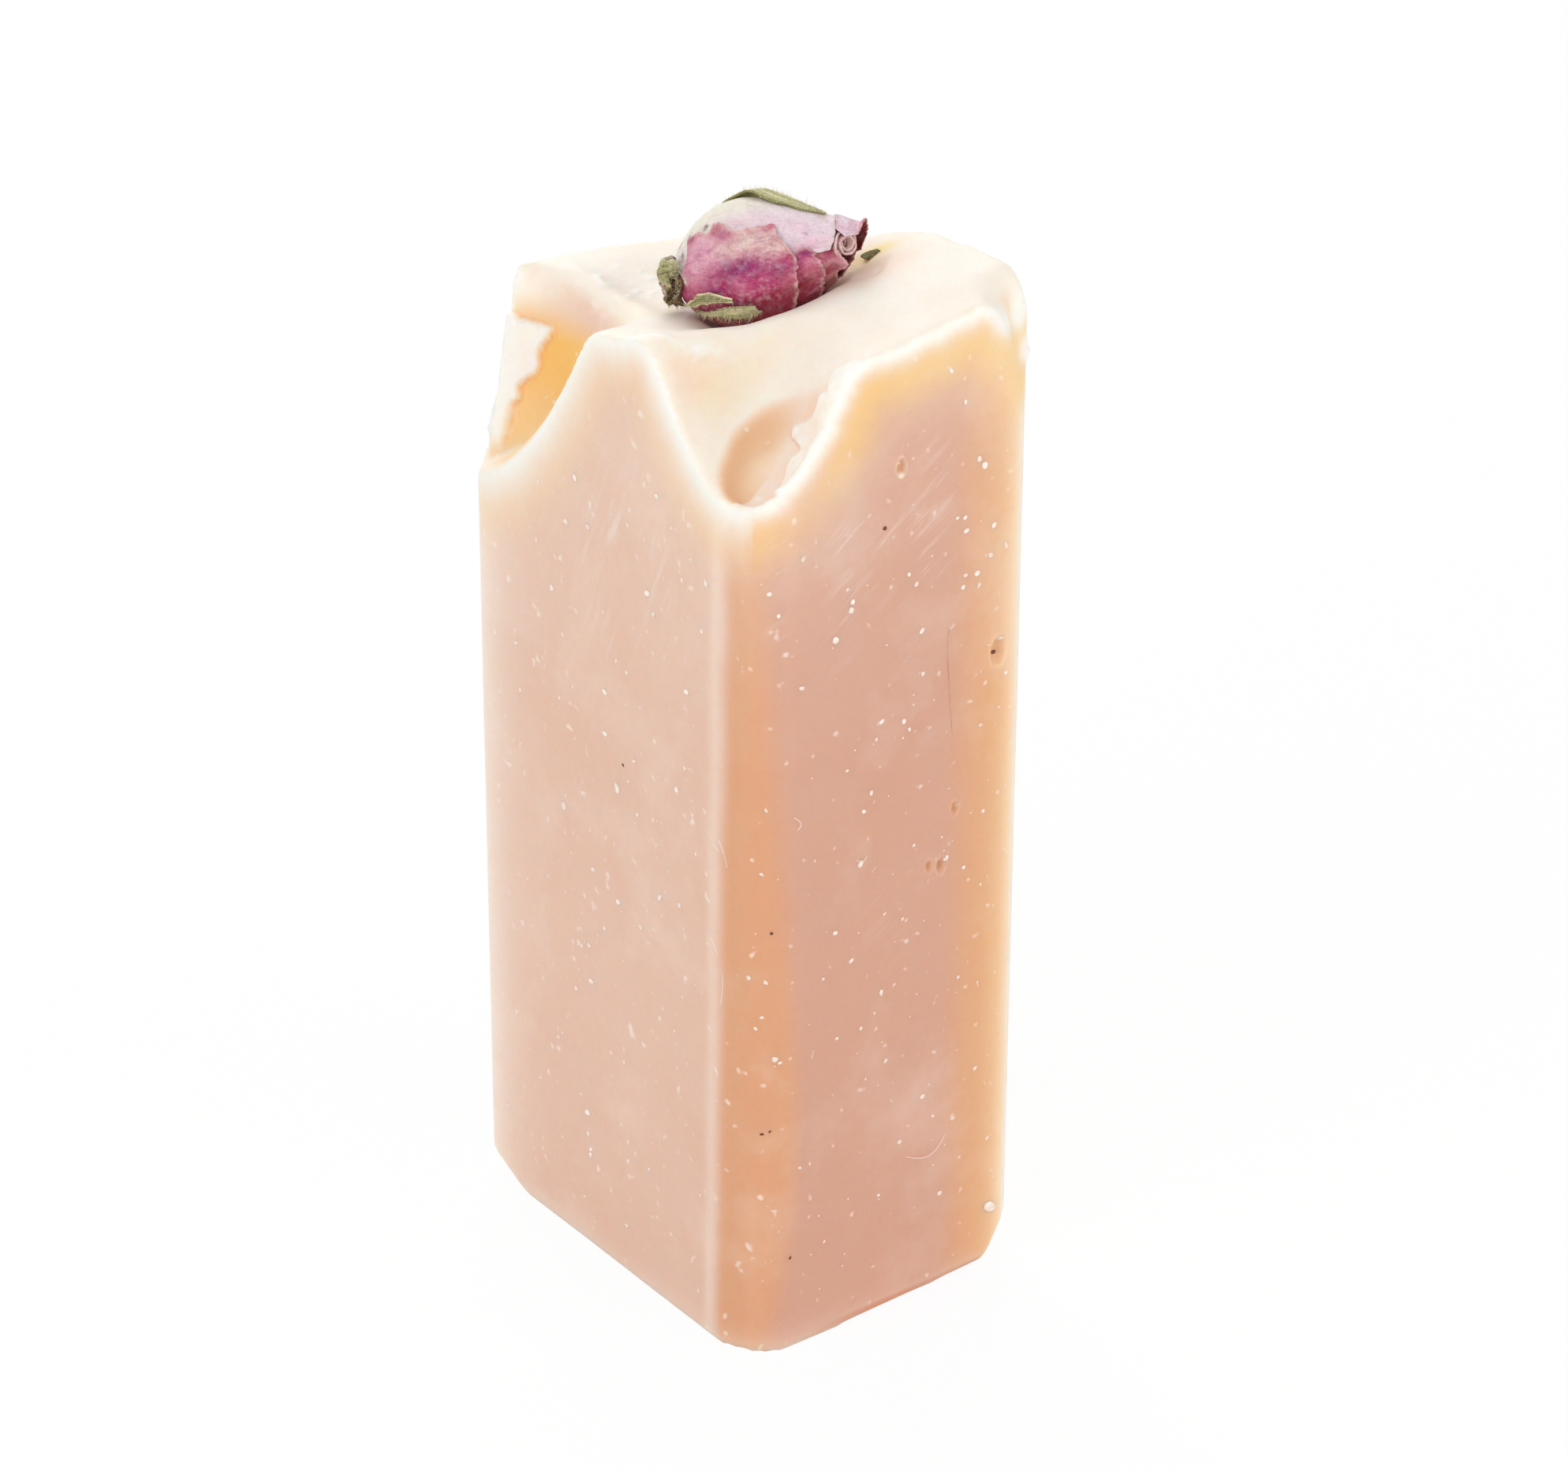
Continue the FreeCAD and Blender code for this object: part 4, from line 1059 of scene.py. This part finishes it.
def finish_tone(piece, tone, veined, bleached):
    paint_colour(piece, "tone", tone)
    paint(piece, "veined", np.full(len(tone), veined))
    paint(piece, "bleached", np.full(len(tone), bleached))


def stretch(share, value):
    """A plain number, or the value read at a share off a list of places and their values."""
    return np.interp(share, *value) if isinstance(value, tuple) else value


def petal_spot(foot, rim, first, last):
    """Angles and heights of a petal between its foot and its rim and between its two sides."""
    def spot(across, along):
        low = stretch(across, foot)
        z = low + (stretch(across, rim) - low) * along
        start = stretch(z, first)
        return start + (last - start) * across, z

    return spot


def model_petal(look, name, node, material, sheet, tones, inner=None):
    """A whole petal: its sheet, its wall, its painted tones and its material."""
    spot, radius_at, wrinkle, size, seed, edge_lift, ragged = sheet
    base, blobs, veined, bleached, tone_seed = tones
    piece = petal_sheet(name, spot, radius_at, look.wrinkle / MM * wrinkle, size, seed, edge_lift, ragged)
    thicken(piece, look.petal_thickness)
    shade_petal(piece, base, blobs, veined, bleached, inner, tone_seed)
    finish_piece(piece, material, [node])


class ROSE_OT_front_petal(bpy.types.Operator):
    """Model the large wrinkled petal on the bud's near side"""
    bl_idname = "rose.front_petal"
    bl_label = "Front petal"

    def execute(self, context):
        look = context.scene.rosebud_look

        spot = petal_spot(
            ((0, 0.13, 0.2, 0.31, 0.45, 1.0), (2.8, 2.7, 2.2, 1.3, 0.8, 0.5)),
            ((0, 0.05, 0.1, 0.144, 0.194, 0.25, 0.29, 0.317, 0.37, 0.51, 0.62, 0.73, 0.87, 1.0),
             (10.75, 10.9, 11.4, 11.8, 12.1, 12.1, 12.0, 11.8, 11.7, 11.5, 11.0, 10.2, 9.0, 8.4)),
            ((2.8, 3.6, 4.2, 4.9, 5.3, 5.7, 6.1, 6.6, 7.1, 7.5, 8.3, 9.2, 9.8, 10.4, 10.8, 12.1),
             (32, 32, 33.5, 37.5, 37, 31.5, 31, 33.5, 39, 41, 41, 40, 39, 37, 39, 52)), 178.0)
        # Dents and swellings: angle, height, half sizes and how far out
        dents = ((87, 5.8, 7, 0.42, -0.42), (81, 6.7, 5, 0.6, -0.22), (52, 9.2, 9, 2.0, 0.20),
                 (62, 7.2, 5, 2.2, -0.18), (72, 8.4, 6, 2.2, 0.16), (94, 9.6, 8, 1.4, -0.16),
                 (62, 3.9, 12, 0.9, 0.16), (88, 11.2, 9, 0.8, 0.15))

        def radius_at(angle, z):
            shape = sum(out * spotted(angle, z, *place) for *place, out in dents)
            return layer_radius(z, 0.0) + shape + 0.12 * smooth((46.0 - angle) / 14.0)

        # Crimson in the crease at 87 degrees and from 110 degrees round to the underside is painted shade;
        # the other blobs are the petal's own tones
        blobs = (
            (45, 4.5, 19, 2.1, look.rose, 1.0), (66, 3.4, 16, 1.4, look.rose, 0.85),
            (62, 6.0, 8, 1.7, look.rose, 0.75), (37, 5.2, 5, 2.2, look.salmon, 0.7),
            (50, 8.8, 13, 2.3, look.tan, 1.0), (56, 6.6, 7, 1.4, look.tan, 0.5),
            (60, 10.6, 9, 1.2, look.tan, 0.9), (80, 9.8, 5, 0.9, look.rose, 0.5),
            (90, 7.4, 6, 0.8, look.rose, 0.4), (37, 8.4, 4.0, 2.4, look.salmon, 0.7),
            (33, 6.2, 4, 0.7, look.salmon, 0.8), (75, 7.8, 8, 2.0, look.plum, 0.9),
            (86, 10.8, 8, 1.2, look.plum, 0.75), (88, 5.0, 8, 1.2, look.plum, 0.5),
            (72, 12.0, 9, 0.5, look.salmon, 0.8), (104, 11.0, 16, 0.9, look.salmon, 0.65),
            (110, 7.5, 10, 5.0, look.crimson, 0.75), (87, 5.9, 2.5, 0.35, look.crimson, 0.8),
            (76, 1.9, 7, 0.4, look.cream, 0.9), (34, 3.2, 4, 0.35, look.bark, 0.5),
            (150, 6.0, 24, 9.0, look.crimson, 1.0), (126, 6.0, 12, 7.0, look.crimson, 0.9))
        model_petal(look, "front_petal", "petal_front",
                    petal_material("front_petal_dried", look),
                    (spot, radius_at, 1.5, (170, 130), 2, 0.12, 0.13), (look.magenta, blobs, 0.75, 0.8, 1))
        return {"FINISHED"}


class ROSE_OT_upper_petal(bpy.types.Operator):
    """Model the smooth pale petal that wraps over the top"""
    bl_idname = "rose.upper_petal"
    bl_label = "Upper petal"

    def execute(self, context):
        look = context.scene.rosebud_look

        rim = ((0.0, 0.2, 0.5, 0.78, 0.9, 1.0), (14.0, 14.7, 15.0, 15.2, 15.0, 14.6))

        def radius_at(angle, z):
            tuck = 0.3 * smooth((angle - 42.0) / 10.0) * smooth((12.4 - z) / 1.0)
            return layer_radius(z, 0.7) - tuck - 0.12 * smooth((z - 13.5) / 1.5)

        blobs = (
            (-10, 3.0, 60, 4.2, look.cream, 1.0), (-40, 8.0, 34, 5.5, look.cream, 1.0),
            (4, 7.0, 14, 2.6, look.cream, 0.8), (34, 12.4, 12, 1.6, look.rose, 0.3),
            (56, 13.6, 10, 1.2, look.rose, 0.55), (26, 9.6, 9, 1.6, look.rose, 0.22),
            (30, 7.5, 5, 1.2, look.rose, 0.4), (66, 12.6, 6, 1.4, look.magenta, 0.35),
            (9, 14.0, 4, 0.4, look.tan, 0.9), (27, 4.7, 3.4, 0.32, look.bark, 1.0),
            (28, 2.9, 2.4, 0.22, look.bark, 1.0), (19, 1.7, 4, 0.2, look.bark, 0.9),
            (41, 1.8, 4, 0.2, look.bark, 0.9), (44, 13.0, 2, 0.15, look.plum, 0.5),
            (-62, 12.0, 20, 3.0, look.rose, 0.5))
        model_petal(look, "upper_petal", "petal_top",
                    petal_material("upper_petal_dried", look),
                    (petal_spot(0.9, rim, -72.0, 76.0), radius_at, 0.35, (130, 120), 5, 0.03, 0.05),
                    (look.lavender, blobs, 0.07, 0.3, 2), look.crimson)
        return {"FINISHED"}


class ROSE_OT_mouth_petals(bpy.types.Operator):
    """Model the side petal and the frilled petals around the bud's mouth"""
    bl_idname = "rose.mouth_petals"
    bl_label = "Mouth petals"

    def execute(self, context):
        look = context.scene.rosebud_look
        material = petal_material("mouth_petal_dried", look)

        def side_radius(angle, z):
            return (layer_radius(z, 0.75) + 0.22 * smooth((z - 11.5) / 2.0)
                    + 0.12 * spotted(angle, z, 88, 12.9, 9, 0.7))

        def lip_radius(angle, z):
            flare = 0.15 + 0.55 * smooth((angle - 84.0) / 22.0)
            tuck = 0.30 * smooth((z - 13.6) / 1.0)
            return layer_radius(z, 1.6) - tuck + flare * smooth((z - 14.0) / 1.5) ** 1.5

        def crest_radius(angle, z):
            closing = np.interp(z, (13.8, 14.7, 15.1, 15.7, 16.3, 16.7, 17.4),
                                (2.62, 2.58, 2.42, 2.08, 1.78, 1.62, 1.62))
            curl = 0.45 * smooth((z - 16.7) / 0.8) * (0.35 + spotted(angle, z, 26, 17.4, 26, 2.0))
            return closing + curl + 0.05 * noise(columns(angle * 0.05, z * 0.5, 0.0), 0.8, 61)

        side = petal_spot(3.4, ((0, 0.05, 0.11, 0.19, 0.31, 0.42, 0.53, 0.6, 0.8, 1.0),
                                (13.1, 13.45, 13.7, 13.9, 13.7, 13.55, 13.4, 13.1, 12.4, 11.0)),
                          ((11.5, 12.1, 12.5, 12.9, 13.4, 13.9), (70, 72, 69, 67, 70, 75)), 172.0)
        lip = petal_spot(6.0, ((0, 0.04, 0.12, 0.22, 0.28, 0.36, 0.42, 0.48, 0.7, 1.0),
                               (14.4, 14.8, 15.1, 15.35, 15.65, 15.8, 15.4, 14.9, 14.2, 13.6)),
                         ((13.0, 13.6, 14.2, 14.8), (70, 69, 68, 72)), 174.0)
        # The crest is a strip that lies over the upper petal and ends in a curled tip
        crest = petal_spot(((0, 0.62, 0.78, 0.88, 1.0), (14.0, 14.75, 14.85, 15.0, 15.9)),
                           ((0, 0.15, 0.3, 0.5, 0.7, 0.84, 0.92, 1.0),
                            (15.6, 16.4, 16.8, 17.1, 17.4, 17.6, 17.2, 16.7)), -128.0, 52.0)
        # The crimson on the side and lip petals from 114 degrees down is painted shade under the bud
        rows = (
            ("side_petal", "petal_side", "petal_pale", (side, side_radius, 1.2, (120, 100), 8, 0.12, 0.16),
             (look.magenta, (
                 (72, 12.8, 5, 0.9, look.plum, 0.85), (86, 13.0, 8, 0.8, look.rose, 0.5),
                 (100, 12.8, 9, 0.9, look.salmon, 0.7), (112, 12.6, 8, 0.8, look.tan, 0.35),
                 (114, 11.0, 12, 2.6, look.crimson, 0.95), (84, 13.85, 14, 0.16, look.tan, 0.8),
                 (140, 10.0, 16, 6.0, look.crimson, 0.9)), 0.7, 0.7, 3)),
            ("lip_petal", "petal_lip", "petal_inner", (lip, lip_radius, 0.9, (120, 90), 14, 0.08, 0.10),
             (look.salmon, (
                 (80, 14.5, 8, 0.5, look.magenta, 0.7), (92, 14.2, 8, 0.7, look.magenta, 0.6),
                 (104, 14.6, 10, 0.8, look.rose, 0.5), (84, 15.2, 20, 0.16, look.rose, 0.9),
                 (104, 15.7, 12, 0.2, look.rose, 0.9), (116, 13.4, 9, 1.0, look.crimson, 0.8),
                 (150, 12.0, 14, 4.0, look.crimson, 0.9)), 0.6, 0.55, 4)),
            ("crest_petal", "petal_crest", "petal_inner",
             (crest, crest_radius, 0.35, (150, 44), 20, 0.02, 0.09),
             (look.lavender, (
                 (30, 15.4, 14, 0.5, look.rose, 0.6), (10, 16.6, 26, 0.5, look.rose, 0.7),
                 (30, 17.3, 26, 0.3, look.magenta, 0.75), (20, 14.95, 30, 0.13, look.crimson, 0.5),
                 (-100, 16.0, 46, 2.0, look.magenta, 0.8)), 0.3, 0.5, 5)))
        for name, node, slot, sheet, tones in rows:
            model_petal(look, name, node, material, sheet, tones, look.crimson)
        return {"FINISHED"}


class ROSE_OT_far_petals(bpy.types.Operator):
    """Model the petals on the bud's far side and underneath"""
    bl_idname = "rose.far_petals"
    bl_label = "Far petals"

    def execute(self, context):
        look = context.scene.rosebud_look
        material = petal_material("far_petal_dried", look)
        # The crimson blob at 196 degrees, under the bud, is painted shade
        blobs = ((270, 8.0, 40, 5.0, look.magenta, 0.6), (250, 5.0, 20, 3.0, look.tan, 0.6),
                 (286, 11.0, 14, 3.0, look.salmon, 0.7), (196, 8.0, 26, 8.0, look.crimson, 0.8))
        # Each petal: name, node, slot, first and last angle, foot, heights of its rim, layer, seed
        rows = (
            ("back_petal", "petal_back", "petal_outer", 181, 296, 0.7, (10.5, 12.2, 12.0, 11.0), 0.0, 26),
            ("far_petal", "petal_far", "petal_pale", 171, 300, 3.4, (12.2, 13.4, 13.3, 12.6), 0.75, 32),
            ("under_petal", "petal_under", "petal_inner", 176, 306, 6.0, (14.0, 14.9, 15.0, 14.4), 1.6, 38))
        for name, node, slot, start, end, foot, heights, layer, seed in rows:
            spot = petal_spot(foot, ((0, 0.3, 0.7, 1.0), heights), start, end)
            sheet = (spot, lambda angle, z: layer_radius(z, layer), 1.0, (90, 80), seed, 0.10, 0.10)
            model_petal(look, name, node, material, sheet, (look.rose, blobs, 0.7, 0.7, seed),
                        look.crimson)
        return {"FINISHED"}


class ROSE_OT_heart(bpy.types.Operator):
    """Model the folded heart and the rolled petals in the open mouth"""
    bl_idname = "rose.heart"
    bl_label = "Heart and centre roll"

    def execute(self, context):
        look = context.scene.rosebud_look
        material = petal_material("heart_petal_dried", look)
        piece, across, along = sheet_grid("folded_heart", 72, 40)
        z = 0.7 + 12.6 * along
        radius = (bud_radius(z) - 1.0) * smooth(along / 0.06) ** 0.5 * smooth((1.0 - along) / 0.04) ** 0.5
        write_points(piece, on_bud(360.0 * across, z, np.maximum(radius, 0.0)))
        edit_whole(piece, ("remove_doubles", {"threshold": 0.01 * MM}), OUTWARD)
        # The heart is crimson: partly the inner petals' own colour, partly painted shade deep in the mouth
        shade_petal(piece, look.crimson, ((90, 13.0, 60, 1.5, look.magenta, 0.4),), 0.5, 0.2)
        finish_piece(piece, material, ["bud_heart"])

        # A scroll that leans to the near side; its radius shrinks turn by turn
        piece, across, along = sheet_grid("centre_scroll", 230, 34)
        lean = unit(BUD_AXIS + 0.72 * BUD_NEAR)
        above = unit(BUD_UP - lean * (BUD_UP @ lean))
        beside = np.cross(lean, above)
        pivot = BUD_ORIGIN + 14.0 * BUD_AXIS + 0.42 * BUD_UP
        turns = 2.9
        angle = np.radians(140.0 - 360.0 * turns * across)
        frayed = 0.22 * noise(columns(across * 26.0, 0.0, 0.0), 1.0, 5) * smooth(0.95 - across)
        height = 2.0 + 0.35 * across - 0.9 * smooth((across - 0.55) / 0.45) + frayed
        height = -1.6 + (height + 1.6) * along
        radius = (1.22 - 1.06 * across ** 0.8) * (1.0 + 0.10 * smooth((0.6 - along) / 0.6))
        radius += 0.05 * noise(columns(across * 34.0, along * 4.0, 0.0), 1.0, 3)
        radius *= 1.0 + 0.10 * smooth((along - 0.85) / 0.15)
        points = (pivot + height[:, None] * lean + (radius * np.cos(angle))[:, None] * above
                  + (radius * np.sin(angle))[:, None] * beside)
        write_points(piece, to_frame(points))
        apply_modifier(piece, "SOLIDIFY", thickness=0.20 * MM, offset=0.0, use_even_offset=False)
        edit_whole(piece, OUTWARD)
        local = from_corner(read_points(piece)) - pivot
        height = local @ lean
        tone = np.tile(look.tan, (len(height), 1))
        tone = blend(tone, look.rose, smooth(0.5 + noise(local, 0.5, 8)) * 0.5)
        from_middle = np.linalg.norm(local - height[:, None] * lean, axis=1)
        # Painted shade: crimson deep in the roll's curls and low where it sits in the mouth
        tone = blend(tone, look.crimson, 0.9 * smooth((1.75 - height) / 0.7) * smooth(0.95 - from_middle))
        tone = blend(tone, look.crimson, 0.55 * smooth((0.9 - height) / 0.8))
        finish_tone(piece, tone, 0.5, 0.6)
        finish_piece(piece, material, ["centre_roll"])
        return {"FINISHED"}


def leaf_along(name, route, widths, size, cup, seed):
    """A leaf over the bud: route gives angle, height and stand-off along it, widths are half widths."""
    piece, across, along = sheet_grid(name, *size)
    stops = np.linspace(0.0, 1.0, len(route))
    fine = np.linspace(0.0, 1.0, 200)
    track = columns(*(np.interp(fine, stops, column) for column in zip(*route)))
    for _ in range(14):
        track[1:-1] = 0.25 * track[:-2] + 0.5 * track[1:-1] + 0.25 * track[2:]
    scale = np.radians(1.0) * np.maximum(bud_radius(np.maximum(track[:, 1], 0.0)), 2.1)
    step = unit(np.gradient(columns(track[:, 0] * scale, track[:, 1]), axis=0))
    middle_angle, middle_z, stand, run_x, run_z, scale = (
        np.interp(along, fine, column) for column in (*track.T, *step.T, scale))
    half = np.interp(along, np.linspace(0.0, 1.0, len(widths)), widths)
    key = seed * 2.0
    teeth = noise(columns(along * 14.0, across.round() * 7.0, key), 0.8, seed)
    share = 2.0 * across - 1.0
    half = half * (1.0 + 0.18 * teeth * smooth((np.abs(share) - 0.7) / 0.3))
    angle = middle_angle - share * half * run_z / scale
    z = middle_z + share * half * run_x
    curl = 0.10 * rough_noise(columns(across * 4.0, along * 7.0, key), 1.0, seed + 4)
    radius = np.maximum(bud_radius(np.maximum(z, 0.0)), 2.1) + stand + cup * share ** 2 + curl
    points = on_bud(angle, z, radius)
    write_points(piece, points)
    thicken(piece, LEAF_THICKNESS * MM)
    middle_line = to_frame(BUD_ORIGIN) + z[:, None] * BUD_AXIS
    return piece, points, unit(points - middle_line), np.abs(share)


def hair_mesh(name, roots, outward, length, thickness, dice, lean):
    """Many short tapering hairs, each a three-sided spike, on given roots."""
    vertices, faces = [], []
    for root, out in zip(roots, outward):
        tip = root + (out + lean * dice.normal(size=3)) * length * (0.4 + dice.random())
        along = unit(tip - root)
        first = unit(np.cross(along, (0.3, 0.5, 0.8)))
        second = np.cross(along, first)
        start = len(vertices)
        for turn in range(3):
            phase = 2.0 * math.pi * turn / 3.0
            ring = thickness * (math.cos(phase) * first + math.sin(phase) * second)
            vertices.append(root - along * 0.05 + ring)
        vertices.append(tip)
        faces += [(start, start + 1, start + 3), (start + 1, start + 2, start + 3),
                  (start + 2, start, start + 3), (start + 2, start + 1, start)]
    mesh = bpy.data.meshes.new(name)
    mesh.from_pydata([tuple(np.array(vertex) * MM) for vertex in vertices], [], faces)
    mesh.update()
    return new_object(name, mesh)


class ROSE_OT_sepals(bpy.types.Operator):
    """Model the hip and the dried sepals with their hairs"""
    bl_idname = "rose.sepals"
    bl_label = "Hip and sepals"

    def execute(self, context):
        look = context.scene.rosebud_look
        green = leaf_material("sepal_green", look.green, look.straw, look.bark)
        pale = leaf_material("sepal_pale", look.straw, look.green, look.green)
        dry = leaf_material("sepal_dry", look.bark, colour(128, 98, 62), colour(52, 34, 24))
        dice = np.random.default_rng(SEED)

        piece = add_primitive("rose_hip", "uv_sphere", segments=48, ring_count=24, radius=1.0)
        ball = read_points(piece) * MM
        ribs = 1.0 + 0.05 * np.cos(9.0 * np.arctan2(ball[:, 1], ball[:, 0]))
        ribs += 0.06 * rough_noise(ball, 0.4, 3)
        local = ball * ribs[:, None] * (1.95, 1.95, 0.93) + (0.0, 0.0, -0.65)
        write_points(piece, to_frame(BUD_ORIGIN + local @ np.array((BUD_UP, BUD_NEAR, BUD_AXIS))))
        finish_piece(piece, leaf_material("hip_dried", look.bark, look.tan, look.green), ["bud_hip"])

        # Each sepal: name, node, route of angle, height and stand-off, half widths, cup, finish, hairs
        rows = (
            ("top_sepal", "sepal_top",
             ((-42, 1.0, 0.1), (-46, 4.0, 0.15), (-30, 7.0, 0.30), (-20, 8.8, 0.62), (-12, 10.6, 0.36),
              (-8, 12.4, 0.20), (-4, 14.2, 0.20)), (0.9, 1.1, 1.1, 1.25, 1.1, 0.7, 0.08), -0.12, pale, 0.9),
            ("left_sepal", "sepal_left", ((62, 1.6, 0.55), (60, 0.8, 1.0), (60, 0.0, 1.2), (62, -0.7, 1.05)),
             (0.25, 0.7, 0.85, 0.35), -0.25, green, 0.5),
            ("low_sepal", "sepal_low",
             ((70, 1.5, 0.25), (86, 0.9, 0.4), (102, 0.3, 0.45), (120, -0.3, 0.35), (138, -0.7, 0.2)),
             (0.3, 0.7, 0.85, 0.7, 0.3), 0.15, dry, 0.6),
            ("front_sepal", "sepal_front",
             ((120, 0.6, 0.35), (104, 1.9, 0.42), (94, 3.2, 0.60), (92, 4.6, 0.70), (97, 6.4, 0.50)),
             (0.22, 0.40, 0.52, 0.42, 0.04), 0.10, green, 0.5),
            ("front_sepal_lobe", None,
             ((116, 2.2, 0.35), (110, 3.9, 0.60), (108, 5.6, 0.85), (109, 7.1, 0.95), (110, 8.2, 0.90)),
             (0.12, 0.42, 0.60, 0.62, 0.40), -0.30, pale, 0.8),
            ("under_sepal", "sepal_under",
             ((196, 0.5, 0.1), (193, 3.0, 0.12), (190, 6.0, 0.12), (190, 8.0, 0.1)),
             (0.6, 1.0, 0.9, 0.1), 0.05, dry, 0.2))
        roots, outward = [], []
        for index, (name, node, route, widths, cup, material, hairy) in enumerate(rows):
            piece, points, out, share = leaf_along(name, route, widths, (26, 60), cup, 60 + index)
            finish_piece(piece, material, [node] if node else [])
            chosen = np.flatnonzero((share > 0.9) | (dice.random(len(share)) < 0.15))
            chosen = dice.choice(chosen, min(len(chosen), int(420 * hairy)), replace=False)
            roots += list(points[chosen])
            outward += list(out[chosen])
        piece = hair_mesh("sepal_hairs", roots, outward, 0.32, 0.020, dice, 0.7)
        finish_piece(piece, plain_material("sepal_hair", look.straw, look.cream, 900.0, 0.6))
        return {"FINISHED"}


class ROSE_OT_crumb(bpy.types.Operator):
    """Model the crumb of leaf past the bud's tip"""
    bl_idname = "rose.crumb"
    bl_label = "Leaf crumb"

    def execute(self, context):
        look = context.scene.rosebud_look
        middle = np.array(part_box("leaf_crumb")).mean(axis=0) / MM
        piece = add_primitive("leaf_crumb_dried", "ico_sphere", subdivisions=4, radius=1.0)
        ball = read_points(piece) * MM
        lumpy = 1.0 + 0.3 * rough_noise(ball, 0.7, 4)
        points = ball * lumpy[:, None] * (0.85, 0.62, 0.18)
        points[:, 2] += 0.18 * points[:, 0] ** 2 + 0.15 * points[:, 0] - 0.15
        write_points(piece, points + middle)
        finish_piece(piece, leaf_material("crumb_dried", look.green, look.bark, look.bark),
                     ["leaf_crumb"])
        return {"FINISHED"}


# Camera place, from the bar's left, front and bottom corner, in millimetres; the lamps aim in metres
CAMERA_PLACE = (-240.1, -324.5, 276.8)
CAMERA_AZIMUTH = math.radians(-36.902)
CAMERA_ELEVATION = math.radians(28.0)
CAMERA_ROLL = math.radians(0.247)
LAMP_AIM = Vector((0.0, 0.0, 0.05))
FLOOR_WHITE = 0.93


class STAGE_OT_stage(bpy.types.Operator):
    """Set up the floor, the plain white surround, the lamps and the camera"""
    bl_idname = "stage.setup"
    bl_label = "Floor, light and camera"

    def execute(self, context):
        look = context.scene.stage_look
        scene = context.scene
        scene.view_settings.view_transform = "Standard"
        floor = add_primitive("pale_floor", "plane", size=6.0)
        floor.data.materials.append(self.floor_material(look))
        scene.world = self.surround(look)
        for name, place, size, power in (
                ("key_lamp", (-0.42, -0.10, 0.40), 0.45, look.key_power),
                ("fill_lamp", (0.22, -0.48, 0.24), 0.5, look.fill_power),
                ("back_lamp", (0.15, 0.42, 0.34), 0.4, look.back_power)):
            light = bpy.data.lights.new(name, "AREA")
            light.size = size
            light.energy = power
            lamp = new_object(name, light)
            lamp.location = place
            lamp.rotation_mode = "QUATERNION"
            lamp.rotation_quaternion = (Vector(place) - LAMP_AIM).to_track_quat("Z", "Y")
        camera = bpy.data.cameras.new("photo_camera")
        camera.lens = look.lens
        camera.sensor_width = 36.0
        camera.sensor_fit = "HORIZONTAL"
        camera.clip_start = 0.01
        rig = new_object("photo_camera", camera)
        rig.location = to_frame(np.array(CAMERA_PLACE)) * MM
        turn = Matrix.Rotation(CAMERA_AZIMUTH, 3, "Z")
        turn @= Matrix.Rotation(math.pi / 2 - CAMERA_ELEVATION, 3, "X")
        turn @= Matrix.Rotation(CAMERA_ROLL, 3, "Z")
        rig.rotation_mode = "QUATERNION"
        rig.rotation_quaternion = turn.to_quaternion()
        scene.camera = rig
        return {"FINISHED"}

    def floor_material(self, look):
        """White where the camera sees it, so that the floor and the surround meet unseen."""
        nodes = Nodes("pale_floor")
        nodes.constants(nodes.shader, {"Base Color": look.floor, "Roughness": 0.9})
        white = nodes.constants(nodes.add("ShaderNodeEmission"), {"Strength": 1.0})
        return nodes.white_for(("Is Camera Ray", "Is Glossy Ray", "Is Transmission Ray"),
                               nodes.shader, white, FLOOR_WHITE)

    def surround(self, look):
        nodes = Nodes("white_surround", world=True)
        light, white = (nodes.constants(nodes.add("ShaderNodeBackground"), {
            "Color": (1.0, 1.0, 1.0, 1.0), "Strength": strength}) for strength in (look.surround, 1.0))
        return nodes.white_for(("Is Camera Ray", "Is Glossy Ray"), light, white, 1.0)


class SOAP_PT_panel(bpy.types.Panel):
    """Lists the steps in the order that they are run"""
    bl_idname = "SOAP_PT_panel"
    bl_label = "Soap bar with rosebud"
    bl_space_type = "VIEW_3D"
    bl_region_type = "UI"
    bl_category = "Soap"

    def draw(self, context):
        for step in STEPS:
            self.layout.operator(step)
        for group in (context.scene.soap_look, context.scene.rosebud_look, context.scene.stage_look):
            for name in group.__annotations__:
                self.layout.prop(group, name)


STEPS = ("soap.block", "soap.flecks", "soap.lint", "rose.front_petal", "rose.upper_petal",
         "rose.mouth_petals", "rose.far_petals", "rose.heart", "rose.sepals", "rose.crumb", "stage.setup")
CLASSES = (SoapLook, RosebudLook, StageLook, SOAP_OT_block, SOAP_OT_flecks, SOAP_OT_lint,
           ROSE_OT_front_petal, ROSE_OT_upper_petal, ROSE_OT_mouth_petals, ROSE_OT_far_petals, ROSE_OT_heart,
           ROSE_OT_sepals, ROSE_OT_crumb, STAGE_OT_stage, SOAP_PT_panel)


LOOKS = {"soap_look": SoapLook, "rosebud_look": RosebudLook, "stage_look": StageLook}


def register():
    for entry in CLASSES:
        bpy.utils.register_class(entry)
    for name, group in LOOKS.items():
        setattr(bpy.types.Scene, name, bpy.props.PointerProperty(type=group))


def unregister():
    for name in LOOKS:
        delattr(bpy.types.Scene, name)
    for entry in reversed(CLASSES):
        bpy.utils.unregister_class(entry)


def main():
    register()
    for step in STEPS:
        group, name = step.split(".")
        getattr(getattr(bpy.ops, group), name)()
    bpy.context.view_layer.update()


if __name__ == "__main__":
    main()
